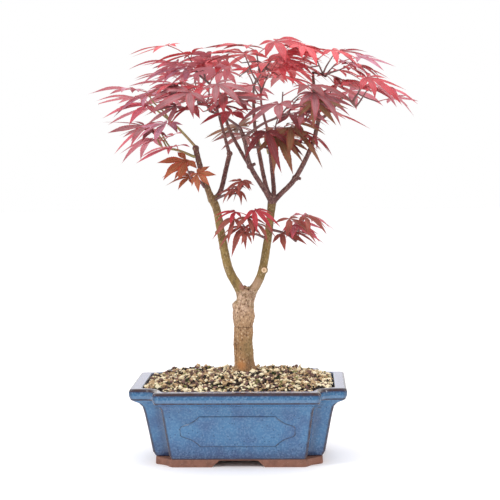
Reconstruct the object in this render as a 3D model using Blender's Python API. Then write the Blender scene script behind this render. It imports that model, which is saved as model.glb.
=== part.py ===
"""Japanese maple bonsai in a blue glazed pot with notched corners.

Units are metres, +Z is up, and the pot's feet stand on z = 0. Places are given from the middle of
the pot's underside, and one empty then moves the whole plant so that the origin lies under the
middle of its full width and depth. The long front, with a raised panel, looks along -Y.
"""
import math
import random
from dataclasses import dataclass

import bmesh
import bpy
from mathutils import Matrix, Vector, noise
from mathutils.bvhtree import BVHTree

# Clearance left between solids that touch, and the wider one kept between masses of foliage.
GAP = 0.0003
CLEAR = 0.0007
# Points closer than this are one point.
MERGE = 0.00001

# Middle of the pot, from the middle of the whole plant's width and depth, and how many degrees
# the pot stands off square, which keeps its mirrored corners from lining up exactly.
POT_FROM_ORIGIN = (-0.0178, -0.0064, 0.0)
POT_TURN = 0.1

# Pot: outside half width, its difference to the half depth, and the heights of its parts.
RIM_HALF_WIDTH = 0.1110
RIM_HEIGHT = 0.0805
DEPTH_LESS = 0.026
WALL = 0.0075
FLOOR_Z = 0.0165
FOOT_HEIGHT = 0.0072
FOOT_DEPTH_LESS = 0.003
CORNER_ROUND = 0.0024
# How square the inside corners are: 1 is a full step and 0.5 is cut straight across.
INSIDE_SQUARENESS = 0.75
CUT_ACROSS = 0.5
# Side profile from the foot to the rim: height, half width, corner notch.
OUTER_PROFILE = (
    (0.0000, 0.0860, 0.0175),
    (0.0080, 0.0857, 0.0175),
    (0.0130, 0.0886, 0.0182),
    (0.0530, 0.0958, 0.0200),
    (0.0610, 0.0978, 0.0208),
    (0.0664, 0.1045, 0.0240),
    (0.0688, 0.1092, 0.0262),
    (0.0770, RIM_HALF_WIDTH, 0.0266),
    (0.0796, RIM_HALF_WIDTH - 0.0010, 0.0266),
    (RIM_HEIGHT, RIM_HALF_WIDTH - 0.0030, 0.0266),
)
# The inside from the rim down to the floor: height, half width, corner notch.
INNER_PROFILE = (
    (RIM_HEIGHT, 0.0985, 0.0230),
    (0.0700, 0.0960, 0.0225),
    (0.0580, 0.0958 - WALL, 0.0205),
    (FLOOR_Z, 0.0886 - WALL, 0.0185),
)
# Gap between the feet in the middle of a side: half widths at the ground and at its top.
LONG_SIDE_GAP = (0.0275, 0.0200)
SHORT_SIDE_GAP = (0.0215, 0.0160)
# Hollow of the underside inside the feet: half width, half depth, cut corner and height.
HOLLOW_SIZE = (0.0680, 0.0385, 0.0110)
HOLLOW_HEIGHT = 0.0095
# Raised panel on the front and back: a tall middle with a lower wing at each end.
PANEL_HALF_WIDTH = 0.0580
PANEL_HALF_HEIGHT = 0.0058
PANEL_MIDDLE_HALF_WIDTH = 0.0400
PANEL_MIDDLE_HALF_HEIGHT = 0.0164
PANEL_CORNER = 0.002
PANEL_SHOULDER = (0.0080, 0.0028)
PANEL_NECK = (0.0040, 0.0053)
PANEL_Z = 0.0386
PANEL_PROUD = 0.0009
PANEL_SUNK = 0.0030

# Soil: it fills the pot and rises to a small flat under the trunk, with a surface of coarse grit
# whose lumps lie about two steps apart.
SOIL_EDGE_Z = 0.0775
SOIL_EDGE_DROP = 0.002
TRUNK_FOOT = (0.0050, 0.0, 0.0910)
SOIL_FLAT = (0.0230, 0.0200, 0.0120)
SOIL_STEPS = (0.12, 0.24, 0.36, 0.48, 0.60, 0.72, 0.86, 1.0)
GRIT_HEIGHT = 0.0052
GRIT_SPACING = 0.0105
GRIT_STEP = 0.0085
GRIT_FADE = 0.24

# Limbs: the centre line from base to tip with the radius at each point.
TRUNK_LINE = (
    ((0.0050, 0.0, 0.0910), 0.0128),
    ((0.0050, 0.0, 0.0945), 0.0114),
    ((0.0045, 0.0, 0.1030), 0.0103),
    ((0.0039, 0.0, 0.1220), 0.0093),
    ((0.0042, 0.0, 0.1400), 0.0105),
    ((0.0046, 0.0, 0.1520), 0.0115),
    ((0.0060, 0.0, 0.1620), 0.0090),
    ((0.0070, 0.0, 0.1680), 0.0083),
    ((0.0076, 0.0, 0.1735), 0.0084),
)
# Bevel resolution of the trunk and of the boughs, and the spacing of points along them.
TRUNK_ROUNDNESS = 4
BOUGH_ROUNDNESS = 2
LINE_STEP = 0.0160
UNIT_RADIUS = 0.001


@dataclass(frozen=True)
class Limb:
    """A bough: the limbs it springs from, its line of (place, radius) points and its colour."""
    name: str
    springs_from: tuple
    line: tuple
    finish: str


LIMBS = (
    Limb("left_bough", ("trunk",), (
        ((0.0050, -0.001, 0.1660), 0.0056), ((0.0005, -0.002, 0.1770), 0.0051),
        ((-0.0104, -0.003, 0.1980), 0.0046), ((-0.0172, -0.005, 0.2320), 0.0043),
        ((-0.0217, -0.007, 0.2590), 0.0041), ((-0.0268, -0.008, 0.2720), 0.0043)), "bough"),
    Limb("left_bough_upper", ("left_bough",), (
        ((-0.0262, -0.008, 0.2690), 0.0034), ((-0.0344, -0.010, 0.2910), 0.0032),
        ((-0.0402, -0.013, 0.3130), 0.0029), ((-0.0425, -0.014, 0.3240), 0.0031)), "bough"),
    Limb("left_inner_bough", ("left_bough", "left_bough_upper"), (
        ((-0.0255, -0.007, 0.2690), 0.0027), ((-0.0179, 0.002, 0.2800), 0.0026),
        ((-0.0128, 0.012, 0.3020), 0.0025), ((-0.0092, 0.022, 0.3180), 0.0026)), "twig"),
    Limb("left_inner_twig", ("left_inner_bough",), (
        ((-0.0092, 0.021, 0.3165), 0.0019), ((-0.0140, 0.028, 0.3330), 0.0017),
        ((-0.0205, 0.034, 0.3580), 0.0016)), "twig"),
    Limb("right_bough", ("trunk", "left_bough"), (
        ((0.0090, 0.0, 0.1640), 0.0052), ((0.0150, 0.0, 0.1755), 0.0048),
        ((0.0235, 0.0, 0.1920), 0.0045), ((0.0295, 0.0, 0.2220), 0.0042),
        ((0.0337, 0.0, 0.2530), 0.0041), ((0.0359, 0.0, 0.2720), 0.0048)), "bough"),
    Limb("right_outer_bough", ("right_bough",), (
        ((0.0368, 0.0, 0.2685), 0.0030), ((0.0440, -0.001, 0.2750), 0.0027),
        ((0.0600, -0.003, 0.2920), 0.0027), ((0.0769, -0.006, 0.3245), 0.0024),
        ((0.0832, -0.009, 0.3470), 0.0023), ((0.0846, -0.010, 0.3545), 0.0028)), "twig"),
    Limb("right_front_bough", ("right_bough", "right_outer_bough"), (
        ((0.0350, -0.001, 0.2680), 0.0029), ((0.0280, -0.009, 0.2800), 0.0027),
        ((0.0140, -0.020, 0.3050), 0.0025), ((0.0095, -0.030, 0.3270), 0.0020),
        ((0.0050, -0.038, 0.3430), 0.0019)), "twig"),
    Limb("crossing_bough", ("right_front_bough",), (
        ((0.0140, -0.020, 0.3045), 0.0020), ((0.0080, -0.012, 0.3130), 0.0019),
        ((-0.0060, 0.002, 0.3380), 0.0018), ((-0.0130, 0.010, 0.3560), 0.0017),
        ((-0.0170, 0.012, 0.3780), 0.0016)), "twig"),
    Limb("centre_bough", ("right_bough", "right_outer_bough", "right_front_bough"), (
        ((0.0352, 0.001, 0.2690), 0.0026), ((0.0290, 0.006, 0.2840), 0.0024),
        ((0.0225, 0.018, 0.3150), 0.0022), ((0.0175, 0.026, 0.3450), 0.0019),
        ((0.0160, 0.032, 0.3700), 0.0018)), "twig"),
    Limb("back_bough", ("right_bough", "right_outer_bough", "right_front_bough", "centre_bough"), (
        ((0.0362, 0.002, 0.2680), 0.0027), ((0.0370, 0.014, 0.2800), 0.0025),
        ((0.0340, 0.042, 0.3080), 0.0022), ((0.0290, 0.068, 0.3450), 0.0019)), "twig"),
    Limb("right_rising_twig", ("right_outer_bough",), (
        ((0.0846, -0.010, 0.3530), 0.0019), ((0.0828, -0.005, 0.3680), 0.0018),
        ((0.0798, 0.002, 0.3880), 0.0016), ((0.0790, 0.005, 0.3990), 0.0015)), "twig"),
    Limb("right_reaching_twig", ("right_outer_bough", "right_rising_twig"), (
        ((0.0850, -0.011, 0.3525), 0.0017), ((0.0930, -0.016, 0.3570), 0.0016),
        ((0.1090, -0.026, 0.3740), 0.0014)), "twig"),
)


@dataclass(frozen=True)
class Mass:
    """A mass of foliage: the limb and the share along it where its stem starts, and its space."""
    name: str
    limb: str
    along: float
    centre: tuple
    reach: tuple
    shoots: int
    leaf_scale: float
    seed: int


# centre and reach give the rounded box that the whole mass keeps inside.
MASSES = (
    Mass("left_low_foliage", "left_bough_upper", 0.86,
         (-0.075, -0.030, 0.334), (0.058, 0.070, 0.032), 3, 0.95, 11),
    Mass("left_high_foliage", "left_bough_upper", 1.0,
         (-0.080, 0.010, 0.370), (0.072, 0.070, 0.032), 3, 1.0, 12),
    Mass("upper_left_foliage", "crossing_bough", 1.0,
         (-0.037, -0.004, 0.406), (0.072, 0.070, 0.028), 3, 1.0, 13),
    Mass("top_foliage", "centre_bough", 1.0,
         (0.024, 0.006, 0.411), (0.072, 0.070, 0.028), 4, 1.0, 14),
    Mass("right_top_foliage", "right_rising_twig", 1.0,
         (0.092, -0.004, 0.412), (0.076, 0.072, 0.030), 4, 1.0, 15),
    Mass("right_foliage", "right_reaching_twig", 1.0,
         (0.122, -0.028, 0.374), (0.068, 0.070, 0.034), 3, 1.0, 16),
    Mass("front_left_foliage", "right_front_bough", 1.0,
         (-0.024, -0.070, 0.366), (0.072, 0.062, 0.036), 3, 1.0, 17),
    Mass("front_right_foliage", "right_front_bough", 0.90,
         (0.052, -0.070, 0.368), (0.072, 0.062, 0.040), 3, 1.0, 18),
    Mass("centre_foliage", "right_front_bough", 0.75,
         (0.040, -0.030, 0.334), (0.060, 0.060, 0.044), 3, 0.95, 19),
    Mass("back_left_foliage", "left_inner_twig", 1.0,
         (-0.046, 0.070, 0.384), (0.076, 0.066, 0.038), 4, 1.0, 20),
    Mass("back_foliage", "back_bough", 1.0,
         (0.022, 0.084, 0.400), (0.072, 0.060, 0.036), 3, 1.0, 21),
    Mass("back_right_foliage", "back_bough", 0.8,
         (0.090, 0.062, 0.376), (0.074, 0.070, 0.040), 4, 1.0, 22),
    Mass("back_low_foliage", "back_bough", 0.7,
         (0.020, 0.076, 0.336), (0.066, 0.062, 0.034), 2, 1.0, 23),
    Mass("low_left_sprig", "left_bough_upper", 0.30,
         (-0.046, -0.026, 0.300), (0.038, 0.046, 0.026), 1, 0.70, 24),
    Mass("low_middle_sprig", "right_bough", 0.62,
         (0.012, -0.026, 0.246), (0.044, 0.048, 0.038), 2, 0.76, 25),
    Mass("low_right_sprig", "right_bough", 0.70,
         (0.060, -0.012, 0.238), (0.042, 0.052, 0.038), 2, 0.84, 26),
    Mass("left_node_sprig", "left_bough", 0.98,
         (0.000, -0.030, 0.285), (0.038, 0.046, 0.026), 1, 0.72, 27),
)

# Twigs and leaf stalks are three-sided, and each starts inside what it grows from.
TWIG_SIDES = 3
STEM_RADIUS = 0.0017
SHOOT_RADIUS = 0.0012
STALK_RADIUS = 0.0007
SUNK = 0.0015
# The stem ends this share of the space's height below its middle, with a small bend on the way.
HUB_DROP = 0.30
STEM_BEND = 0.0035
STEM_BEND_RISE = 0.6
BEND_LEAF_SPREAD = 80
STALK_LENGTHS = (0.032, 0.028, 0.024, 0.020, 0.016, 0.012)
SHOOT_FAN = math.radians(62)
SHOOT_SPACING = 0.30
SHOOT_WANDER = 0.15
SHOOT_RISE = 0.5
# Each pair of leaves: its share along the shoot, and its angle from the shoot.
PAIRS = ((0.84, 62), (0.40, 100))
SHORTEST_SHOOT = 0.010
BLADE_ROOM = 0.056
SPACE_POWER = 4
TURNS_TRIED = (0.0, 14.0, -14.0, 28.0, -28.0, 44.0, -44.0)
# Limits of what differs from leaf to leaf: the stalk's rise, the size, and the tilts in degrees.
STALK_RISES = (0.10, 0.50)
LEAF_SIZES = (0.86, 1.06)
LEAF_PITCHES = (2, 24)
LEAF_ROLLS = (-16, 16)

# Leaf: five lobes round the end of the stalk, the middle one the longest.
LOBE_ANGLES = (-112, -52, 0, 52, 112)
LOBE_LENGTHS = (0.026, 0.043, 0.051, 0.043, 0.026)
SIMPLE_LOBE = 0.030
LOBE_HALF_WIDTH = 0.0046
LOBE_WIDEST = 0.50
SINUS_RADIUS = 0.0075
BASE_LENGTH = 0.0040
BASE_HALF_WIDTH = 0.0011
MIDDLE_X = 0.0030
LEAF_HALF_THICKNESS = 0.0011
LEAF_DROOP = 0.22

COLOURS = {
    "glaze": ((0.035, 0.115, 0.245, 1.0), 0.18),
    "soil": ((0.42, 0.33, 0.21, 1.0), 0.95),
    "trunk": ((0.21, 0.13, 0.085, 1.0), 0.85),
    "bough": ((0.22, 0.15, 0.055, 1.0), 0.75),
    "twig": ((0.14, 0.055, 0.055, 1.0), 0.65),
    "leaf": ((0.42, 0.035, 0.05, 1.0), 0.55),
}


def material(name):
    """The plain Principled material called name, made on first use."""
    made = bpy.data.materials.get(name)
    if made is None:
        colour, roughness = COLOURS[name]
        made = bpy.data.materials.new(name)
        made.use_nodes = True
        shader = made.node_tree.nodes["Principled BSDF"]
        shader.inputs["Base Color"].default_value = colour
        shader.inputs["Roughness"].default_value = roughness
        shader.inputs["Metallic"].default_value = 0.0
    return made


def object_from(bm, name, collection, finish=None):
    """Put the bmesh in a new object in the collection, with its faces pointing out."""
    bmesh.ops.recalc_face_normals(bm, faces=bm.faces)
    mesh = bpy.data.meshes.new(name)
    bm.to_mesh(mesh)
    bm.free()
    made = bpy.data.objects.new(name, mesh)
    collection.objects.link(made)
    if finish:
        mesh.materials.append(material(finish))
    return made


def evaluated_mesh(thing):
    """A new mesh of the object with its modifiers, or its curve's bevel, worked out."""
    graph = bpy.context.evaluated_depsgraph_get()
    return bpy.data.meshes.new_from_object(thing.evaluated_get(graph))


def merge_close_points(mesh):
    """Merge points that a Boolean left close together, as far as the mesh stays closed."""
    for distance in (MERGE, MERGE / 5, MERGE / 20):
        bm = bmesh.new()
        bm.from_mesh(mesh)
        bmesh.ops.remove_doubles(bm, verts=bm.verts, dist=distance)
        bmesh.ops.dissolve_degenerate(bm, edges=bm.edges, dist=distance)
        bmesh.ops.triangulate(bm, faces=bm.faces)
        closed = all(len(edge.link_faces) == 2 for edge in bm.edges)
        if closed:
            bm.to_mesh(mesh)
        bm.free()
        if closed:
            return


def apply_boolean(target, operation, operand):
    """Cut target by, or join it with, an object or all objects of a collection."""
    modifier = target.modifiers.new(operation, "BOOLEAN")
    modifier.operation = operation
    modifier.solver = "EXACT"
    if isinstance(operand, bpy.types.Collection):
        modifier.operand_type = "COLLECTION"
        modifier.collection = operand
    else:
        modifier.object = operand
    mesh = evaluated_mesh(target)
    target.modifiers.clear()
    target.data = mesh
    merge_close_points(mesh)


def remove_objects(things):
    """Take the objects out of the scene."""
    for thing in list(things):
        bpy.data.objects.remove(thing, do_unlink=True)


def hidden_cutter(thing, collection):
    """Keep a cutter in its own collection, as a wire that isn't rendered."""
    for other in list(thing.users_collection):
        other.objects.unlink(thing)
    collection.objects.link(thing)
    thing.hide_render = True
    thing.display_type = "WIRE"


# Pot and soil

def notched_outline(half_width, half_depth, notch, squareness, radius):
    """A rectangle with notched corners, as a closed list of (x, y) with each corner rounded.

    squareness 1 steps the corner in square, and 0.5 cuts it straight across. The squarer a notch is,
    the wider is the curve inside it."""
    inner = notch * squareness
    quarter = [(half_width, half_depth - notch), (half_width - inner, half_depth - inner),
               (half_width - notch, half_depth)]
    corners = quarter + [(-x, y) for x, y in reversed(quarter)]
    corners += [(-x, -y) for x, y in corners]
    hollow = max(radius, notch * (squareness - CUT_ACROSS))
    points = []
    for index, corner in enumerate(corners):
        here = Vector(corner)
        before = Vector(corners[index - 1])
        after = Vector(corners[(index + 1) % len(corners)])
        curve = hollow if index % len(quarter) == 1 else radius
        start = here + (before - here).normalized() * curve
        end = here + (after - here).normalized() * curve
        points += [start, (start + end) * 0.25 + here * 0.5, end]
    return points


def add_ring(bm, outline, z, centre=(0.0, 0.0)):
    """One ring of vertices at height z."""
    return [bm.verts.new((centre[0] + point.x, centre[1] + point.y, z)) for point in outline]


def loft(bm, rings):
    """Join each ring to the next with faces, and close the first and the last ring."""
    count = len(rings[0])
    for low, high in zip(rings, rings[1:]):
        for index in range(count):
            after = (index + 1) % count
            bm.faces.new((low[index], low[after], high[after], high[index]))
    bm.faces.new(rings[0])
    bm.faces.new(rings[-1])
    bmesh.ops.triangulate(bm, faces=bm.faces)


def pot_half_depth(half_width, z):
    """The pot is a little less deep than wide, by slightly more at its foot."""
    return half_width - DEPTH_LESS - FOOT_DEPTH_LESS * (1.0 - z / RIM_HEIGHT)


def pot_outline(z, half_width, notch, squareness=1.0):
    """The pot's outline at one height."""
    return notched_outline(half_width, pot_half_depth(half_width, z), notch, squareness, CORNER_ROUND)


def foot_gap_cutter(gap, along_y, collection):
    """A trapezium bar that opens the foot band in the middle of two opposite sides."""
    gap_low, gap_high = gap
    bm = bmesh.new()
    bmesh.ops.create_cube(bm, size=1.0)
    for vert in bm.verts:
        slope = (gap_low - gap_high) / 2
        half = gap_high if vert.co.z > 0 else gap_low + slope
        across = math.copysign(half, vert.co.x)
        length = math.copysign(RIM_HALF_WIDTH, vert.co.y)
        z = FOOT_HEIGHT if vert.co.z > 0 else -FOOT_HEIGHT / 2
        vert.co = (across, length, z) if along_y else (length, across, z)
    return object_from(bm, "foot_gap", collection)


def underside_cutter(collection):
    """Hollows the underside inside the band of the feet."""
    bm = bmesh.new()
    half_width, half_depth, corner = HOLLOW_SIZE
    outline = notched_outline(half_width, half_depth, corner, CUT_ACROSS, CORNER_ROUND)
    loft(bm, [add_ring(bm, outline, z) for z in (-FOOT_HEIGHT, HOLLOW_HEIGHT)])
    return object_from(bm, "underside", collection)


def raised_panel(side, collection):
    """The raised panel, as a filled curve laid on the sloping wall. side is -1 at the front."""
    curve = bpy.data.curves.new("panel", "CURVE")
    curve.dimensions = "2D"
    curve.fill_mode = "BOTH"
    curve.extrude = (PANEL_PROUD + PANEL_SUNK) / 2
    quarter = [(PANEL_HALF_WIDTH, 0.0), (PANEL_HALF_WIDTH, PANEL_HALF_HEIGHT - PANEL_CORNER),
               (PANEL_HALF_WIDTH - PANEL_CORNER, PANEL_HALF_HEIGHT),
               (PANEL_MIDDLE_HALF_WIDTH + PANEL_SHOULDER[0], PANEL_HALF_HEIGHT + PANEL_SHOULDER[1]),
               (PANEL_MIDDLE_HALF_WIDTH + PANEL_NECK[0], PANEL_HALF_HEIGHT + PANEL_NECK[1]),
               (PANEL_MIDDLE_HALF_WIDTH, PANEL_MIDDLE_HALF_HEIGHT - PANEL_CORNER),
               (PANEL_MIDDLE_HALF_WIDTH - PANEL_CORNER, PANEL_MIDDLE_HALF_HEIGHT)]
    upper = quarter + [(-x, y) for x, y in reversed(quarter)]
    outline = upper + [(x, -y) for x, y in reversed(upper[1:-1])]
    spline = curve.splines.new("POLY")
    spline.points.add(len(outline) - 1)
    for point, (x, y) in zip(spline.points, outline):
        point.co = (x, y, 0.0, 1.0)
    spline.use_cyclic_u = True
    flat = bpy.data.objects.new("panel", curve)
    collection.objects.link(flat)
    low, high = OUTER_PROFILE[2], OUTER_PROFILE[3]
    low_y, high_y = pot_half_depth(low[1], low[0]), pot_half_depth(high[1], high[0])
    lean = math.atan2(high_y - low_y, high[0] - low[0])
    share = (PANEL_Z - low[0]) / (high[0] - low[0])
    wall_y = low_y + (high_y - low_y) * share
    outward = (PANEL_PROUD - PANEL_SUNK) / 2
    turn = Matrix.Rotation(math.radians(90) + lean, 4, "X")
    place = Matrix.Translation((0.0, -(wall_y + outward * math.cos(lean)), PANEL_Z))
    flat.matrix_world = place @ turn
    if side > 0:
        flat.matrix_world = Matrix.Rotation(math.pi, 4, "Z") @ flat.matrix_world
    bpy.context.view_layer.update()
    mesh = evaluated_mesh(flat)
    mesh.transform(flat.matrix_world)
    remove_objects([flat])
    bm = bmesh.new()
    bm.from_mesh(mesh)
    bmesh.ops.remove_doubles(bm, verts=bm.verts, dist=MERGE)
    return object_from(bm, "panel", collection)


def make_pot(collection, cutters):
    """The pot: a lofted shell with notched corners, four corner feet and two raised panels."""
    bm = bmesh.new()
    rings = [add_ring(bm, pot_outline(z, half, notch), z) for z, half, notch in OUTER_PROFILE]
    rings += [add_ring(bm, pot_outline(z, half, notch, INSIDE_SQUARENESS), z)
              for z, half, notch in INNER_PROFILE]
    loft(bm, rings)
    pot = object_from(bm, "pot", collection, "glaze")
    for cutter in (foot_gap_cutter(LONG_SIDE_GAP, True, cutters), underside_cutter(cutters),
                   foot_gap_cutter(SHORT_SIDE_GAP, False, cutters)):
        hidden_cutter(cutter, cutters)
        apply_boolean(pot, "DIFFERENCE", cutter)
    for side in (-1, 1):
        panel = raised_panel(side, cutters)
        apply_boolean(pot, "UNION", panel)
        remove_objects([panel])
    pot.data.set_sharp_from_angle(angle=math.radians(35))
    return pot


def soil_outline(z, half_width, notch):
    """The soil's outline at one height, just inside the pot's wall."""
    return notched_outline(half_width - GAP, pot_half_depth(half_width, z) - GAP, notch,
                           INSIDE_SQUARENESS, CORNER_ROUND)


def divided(outline, counts):
    """The outline with each of its sides divided evenly into its own count of steps."""
    points = []
    for index, (start, count) in enumerate(zip(outline, counts)):
        end = outline[(index + 1) % len(outline)]
        points += [start.lerp(end, step / count) for step in range(count)]
    return points


def grit_height(place, share):
    """How far the coarse grit lifts the mound at a place, fading out at the wall and at the trunk."""
    fade = min(1.0, share / GRIT_FADE, (1.0 - share) / GRIT_FADE)
    return fade * GRIT_HEIGHT * noise.noise(Vector((place.x, place.y, 0.0)) / GRIT_SPACING)


def make_soil(collection):
    """The gritty soil fills the pot to below the rim and rises to a flat under the trunk."""
    bm = bmesh.new()
    edge = soil_outline(*INNER_PROFILE[1])
    flat = notched_outline(*SOIL_FLAT, CUT_ACROSS, CORNER_ROUND)
    counts = [max(1, round((a - b).length / GRIT_STEP)) for a, b in zip(edge, edge[1:] + edge[:1])]
    rings = [add_ring(bm, divided(soil_outline(z, half, notch), counts), max(z, FLOOR_Z + GAP))
             for z, half, notch in reversed(INNER_PROFILE[1:])]
    edge, flat = divided(edge, counts), divided(flat, counts)
    rings.append(add_ring(bm, edge, SOIL_EDGE_Z - SOIL_EDGE_DROP))
    top = TRUNK_FOOT[2] - GAP
    for share in SOIL_STEPS:
        outline = [a.lerp(b, share) for a, b in zip(edge, flat)]
        rise = math.sin(share * math.pi / 2)
        centre = (TRUNK_FOOT[0] * share, TRUNK_FOOT[1] * share)
        ring = add_ring(bm, outline, SOIL_EDGE_Z + (top - SOIL_EDGE_Z) * rise, centre)
        for vert in ring:
            vert.co.z += grit_height(vert.co, share)
        rings.append(ring)
    loft(bm, rings)
    bmesh.ops.triangulate(bm, faces=bm.faces)
    return object_from(bm, "soil", collection, "soil")


# Trunk and boughs

def smooth_line(line):
    """Points on a smooth curve through the line's own points, with their radii."""
    places = [Vector(place) for place, radius in line]
    radii = [radius for place, radius in line]
    padded = [places[0] * 2 - places[1]] + places + [places[-1] * 2 - places[-2]]
    smooth = []
    for index in range(len(places) - 1):
        p0, p1, p2, p3 = padded[index:index + 4]
        steps = max(1, round((p2 - p1).length / LINE_STEP))
        for step in range(steps):
            t = step / steps
            place = 0.5 * (2 * p1 + (p2 - p0) * t + (2 * p0 - 5 * p1 + 4 * p2 - p3) * t ** 2
                           + (3 * p1 - p0 - 3 * p2 + p3) * t ** 3)
            smooth.append((place, radii[index] + (radii[index + 1] - radii[index]) * t))
    smooth.append((places[-1], radii[-1]))
    return smooth


def point_along(line, share):
    """The place, the way on and the radius at a share of the way along a smooth line."""
    lengths = [(b[0] - a[0]).length for a, b in zip(line, line[1:])]
    left = share * sum(lengths)
    for (start, radius), (end, _), length in zip(line, line[1:], lengths):
        if left <= length:
            return start.lerp(end, left / length), (end - start).normalized(), radius
        left -= length
    return line[-1][0], (end - start).normalized(), line[-1][1]


def stem_start(line, along, hub):
    """Where a stem to the hub starts, just clear of the limb's tip or of its side."""
    place, way, radius = point_along(line, along)
    aim = (hub - place).normalized()
    lean = aim.dot(way)
    if along == 1.0:
        return place + way * (GAP + STEM_RADIUS * math.sqrt(1.0 - lean ** 2))
    sideways = (aim - way * lean).normalized()
    return place + sideways * (radius + GAP + STEM_RADIUS * abs(lean))


def tapered_tube(name, line, extra, resolution, collection):
    """A tube along the line as a closed mesh object, extra wider and longer than its radii say."""
    curve = bpy.data.curves.new(name, "CURVE")
    curve.dimensions = "3D"
    curve.bevel_depth = UNIT_RADIUS
    curve.bevel_resolution = resolution
    curve.use_fill_caps = True
    spline = curve.splines.new("POLY")
    spline.points.add(len(line) - 1)
    first = (line[0][0] - line[1][0]).normalized() * extra
    last = (line[-1][0] - line[-2][0]).normalized() * extra
    for index, (point, (place, radius)) in enumerate(zip(spline.points, line)):
        shift = first if index == 0 else last if index == len(line) - 1 else Vector()
        point.co = (*(place + shift), 1.0)
        point.radius = (radius + extra) / UNIT_RADIUS
    tube = bpy.data.objects.new(name, curve)
    collection.objects.link(tube)
    mesh = evaluated_mesh(tube)
    remove_objects([tube])
    bm = bmesh.new()
    bm.from_mesh(mesh)
    bmesh.ops.remove_doubles(bm, verts=bm.verts, dist=MERGE)
    bmesh.ops.triangulate(bm, faces=bm.faces)
    return object_from(bm, name, collection)


def roundness(name):
    """The bevel resolution of a limb."""
    return TRUNK_ROUNDNESS if name == "trunk" else BOUGH_ROUNDNESS


def make_limb(name, springs_from, finish, lines, collection, cutters):
    """One tapering limb, cut clear of the limbs that it springs from."""
    limb = tapered_tube(name, lines[name], 0.0, roundness(name), collection)
    for other in springs_from:
        cutter = tapered_tube("clear_" + other, lines[other], GAP, roundness(other), cutters)
        apply_boolean(limb, "DIFFERENCE", cutter)
        remove_objects([cutter])
    limb.data.materials.clear()
    limb.data.materials.append(material(finish))
    limb.data.shade_smooth()
    limb.data.set_sharp_from_angle(angle=math.radians(50))
    return limb


# Foliage

def straight_twig(start, end, start_radius, end_radius, sunk=0.0):
    """A three-sided cone between two places, which may start a little before the first."""
    way = end - start
    length = way.length + sunk
    bm = bmesh.new()
    turn = way.to_track_quat("Z", "Y").to_matrix().to_4x4()
    middle = Matrix.Translation(end - way.normalized() * length / 2)
    bmesh.ops.create_cone(bm, cap_ends=True, segments=TWIG_SIDES, radius1=start_radius,
                          radius2=end_radius, depth=length, matrix=middle @ turn)
    bmesh.ops.triangulate(bm, faces=bm.faces)
    return bm


def leaf_outline(scale, grow):
    """The leaf's outline round the end of its stalk, with +X along the middle lobe."""
    points = []
    for number, (angle, length) in enumerate(zip(LOBE_ANGLES, LOBE_LENGTHS)):
        along = Vector((math.cos(math.radians(angle)), math.sin(math.radians(angle)), 0.0))
        across = Vector((-along.y, along.x, 0.0))
        half = LOBE_HALF_WIDTH * (length / LOBE_LENGTHS[2]) ** 0.5 + grow
        widest = along * length * LOBE_WIDEST
        if number == 0:
            points.append(Vector((-BASE_LENGTH, -BASE_HALF_WIDTH - grow, 0.0)))
        tip = along * (length + grow)
        points += [tip] if length < SIMPLE_LOBE else [widest - across * half, tip, widest + across * half]
        if number < len(LOBE_ANGLES) - 1:
            middle = math.radians((angle + LOBE_ANGLES[number + 1]) / 2)
            points.append(Vector((math.cos(middle), math.sin(middle), 0.0)) * (SINUS_RADIUS + grow))
    points.append(Vector((-BASE_LENGTH, BASE_HALF_WIDTH + grow, 0.0)))
    longest = LOBE_LENGTHS[2]
    for point in points:
        point.z = -LEAF_DROOP * longest * (point.length / longest) ** 2
    return [point * scale for point in points]


def leaf_blade(place, scale, grow=0.0, root=None):
    """A closed leaf: two fans of faces from an upper and a lower middle point to the outline.

    With a root, the leaf's base runs on as a three-sided stalk down to that place."""
    bm = bmesh.new()
    outline = leaf_outline(scale, grow)
    ring = bmesh.ops.create_circle(bm, segments=len(outline), radius=1.0)["verts"]
    for vert, point in zip(ring, outline):
        vert.co = place @ point
    upper, lower = (bm.verts.new(place @ Vector((MIDDLE_X, 0.0, side * (LEAF_HALF_THICKNESS + grow))))
                    for side in (1, -1))
    base = [ring[-1], ring[0]]
    if root is not None:
        base.insert(1, bm.verts.new(place @ Vector((-BASE_LENGTH, 0.0, -BASE_HALF_WIDTH)) * scale
                                    + place.translation * (1.0 - scale)))
        add_stalk(bm, base, root)
    for vert, after in zip(ring, ring[1:] + ring[:1]):
        bm.faces.new((vert, after, upper))
    for vert, after in list(zip(ring, ring[1:])) + list(zip(base, base[1:])):
        bm.faces.new((after, vert, lower))
    return bm


def add_stalk(bm, base, root):
    """Run the three corners of a leaf's base down to a small triangle round the root."""
    middle = sum((vert.co for vert in base), Vector()) / len(base)
    spread = STALK_RADIUS / max((vert.co - middle).length for vert in base)
    foot = [bm.verts.new(root + (vert.co - middle) * spread) for vert in base]
    for number in range(len(base)):
        after = (number + 1) % len(base)
        side = bm.faces.new((base[number], base[after], foot[after], foot[number]))
        bmesh.ops.triangulate(bm, faces=[side])
    bm.faces.new(foot)


def leaf_place(root, heading, pitch, roll):
    """The frame of a leaf at the end of its stalk: heading about Z, then pitch and roll."""
    turn = Matrix.Rotation(heading, 4, "Z") @ Matrix.Rotation(pitch, 4, "Y") @ Matrix.Rotation(roll, 4, "X")
    return Matrix.Translation(root) @ turn


class Growth:
    """Everything that stands in the crown so far, to keep each new twig and leaf clear of it."""

    def __init__(self):
        self.taken = []

    def add(self, owner, bm):
        """Note a piece that owner holds."""
        self.taken.append((owner, BVHTree.FromBMesh(bm)))

    def touches(self, bm, ignored=()):
        """Whether the piece touches one that stands there, other than the ignored owners' pieces."""
        tree = BVHTree.FromBMesh(bm)
        return any(owner not in ignored and tree.overlap(other) for owner, other in self.taken)


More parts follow.
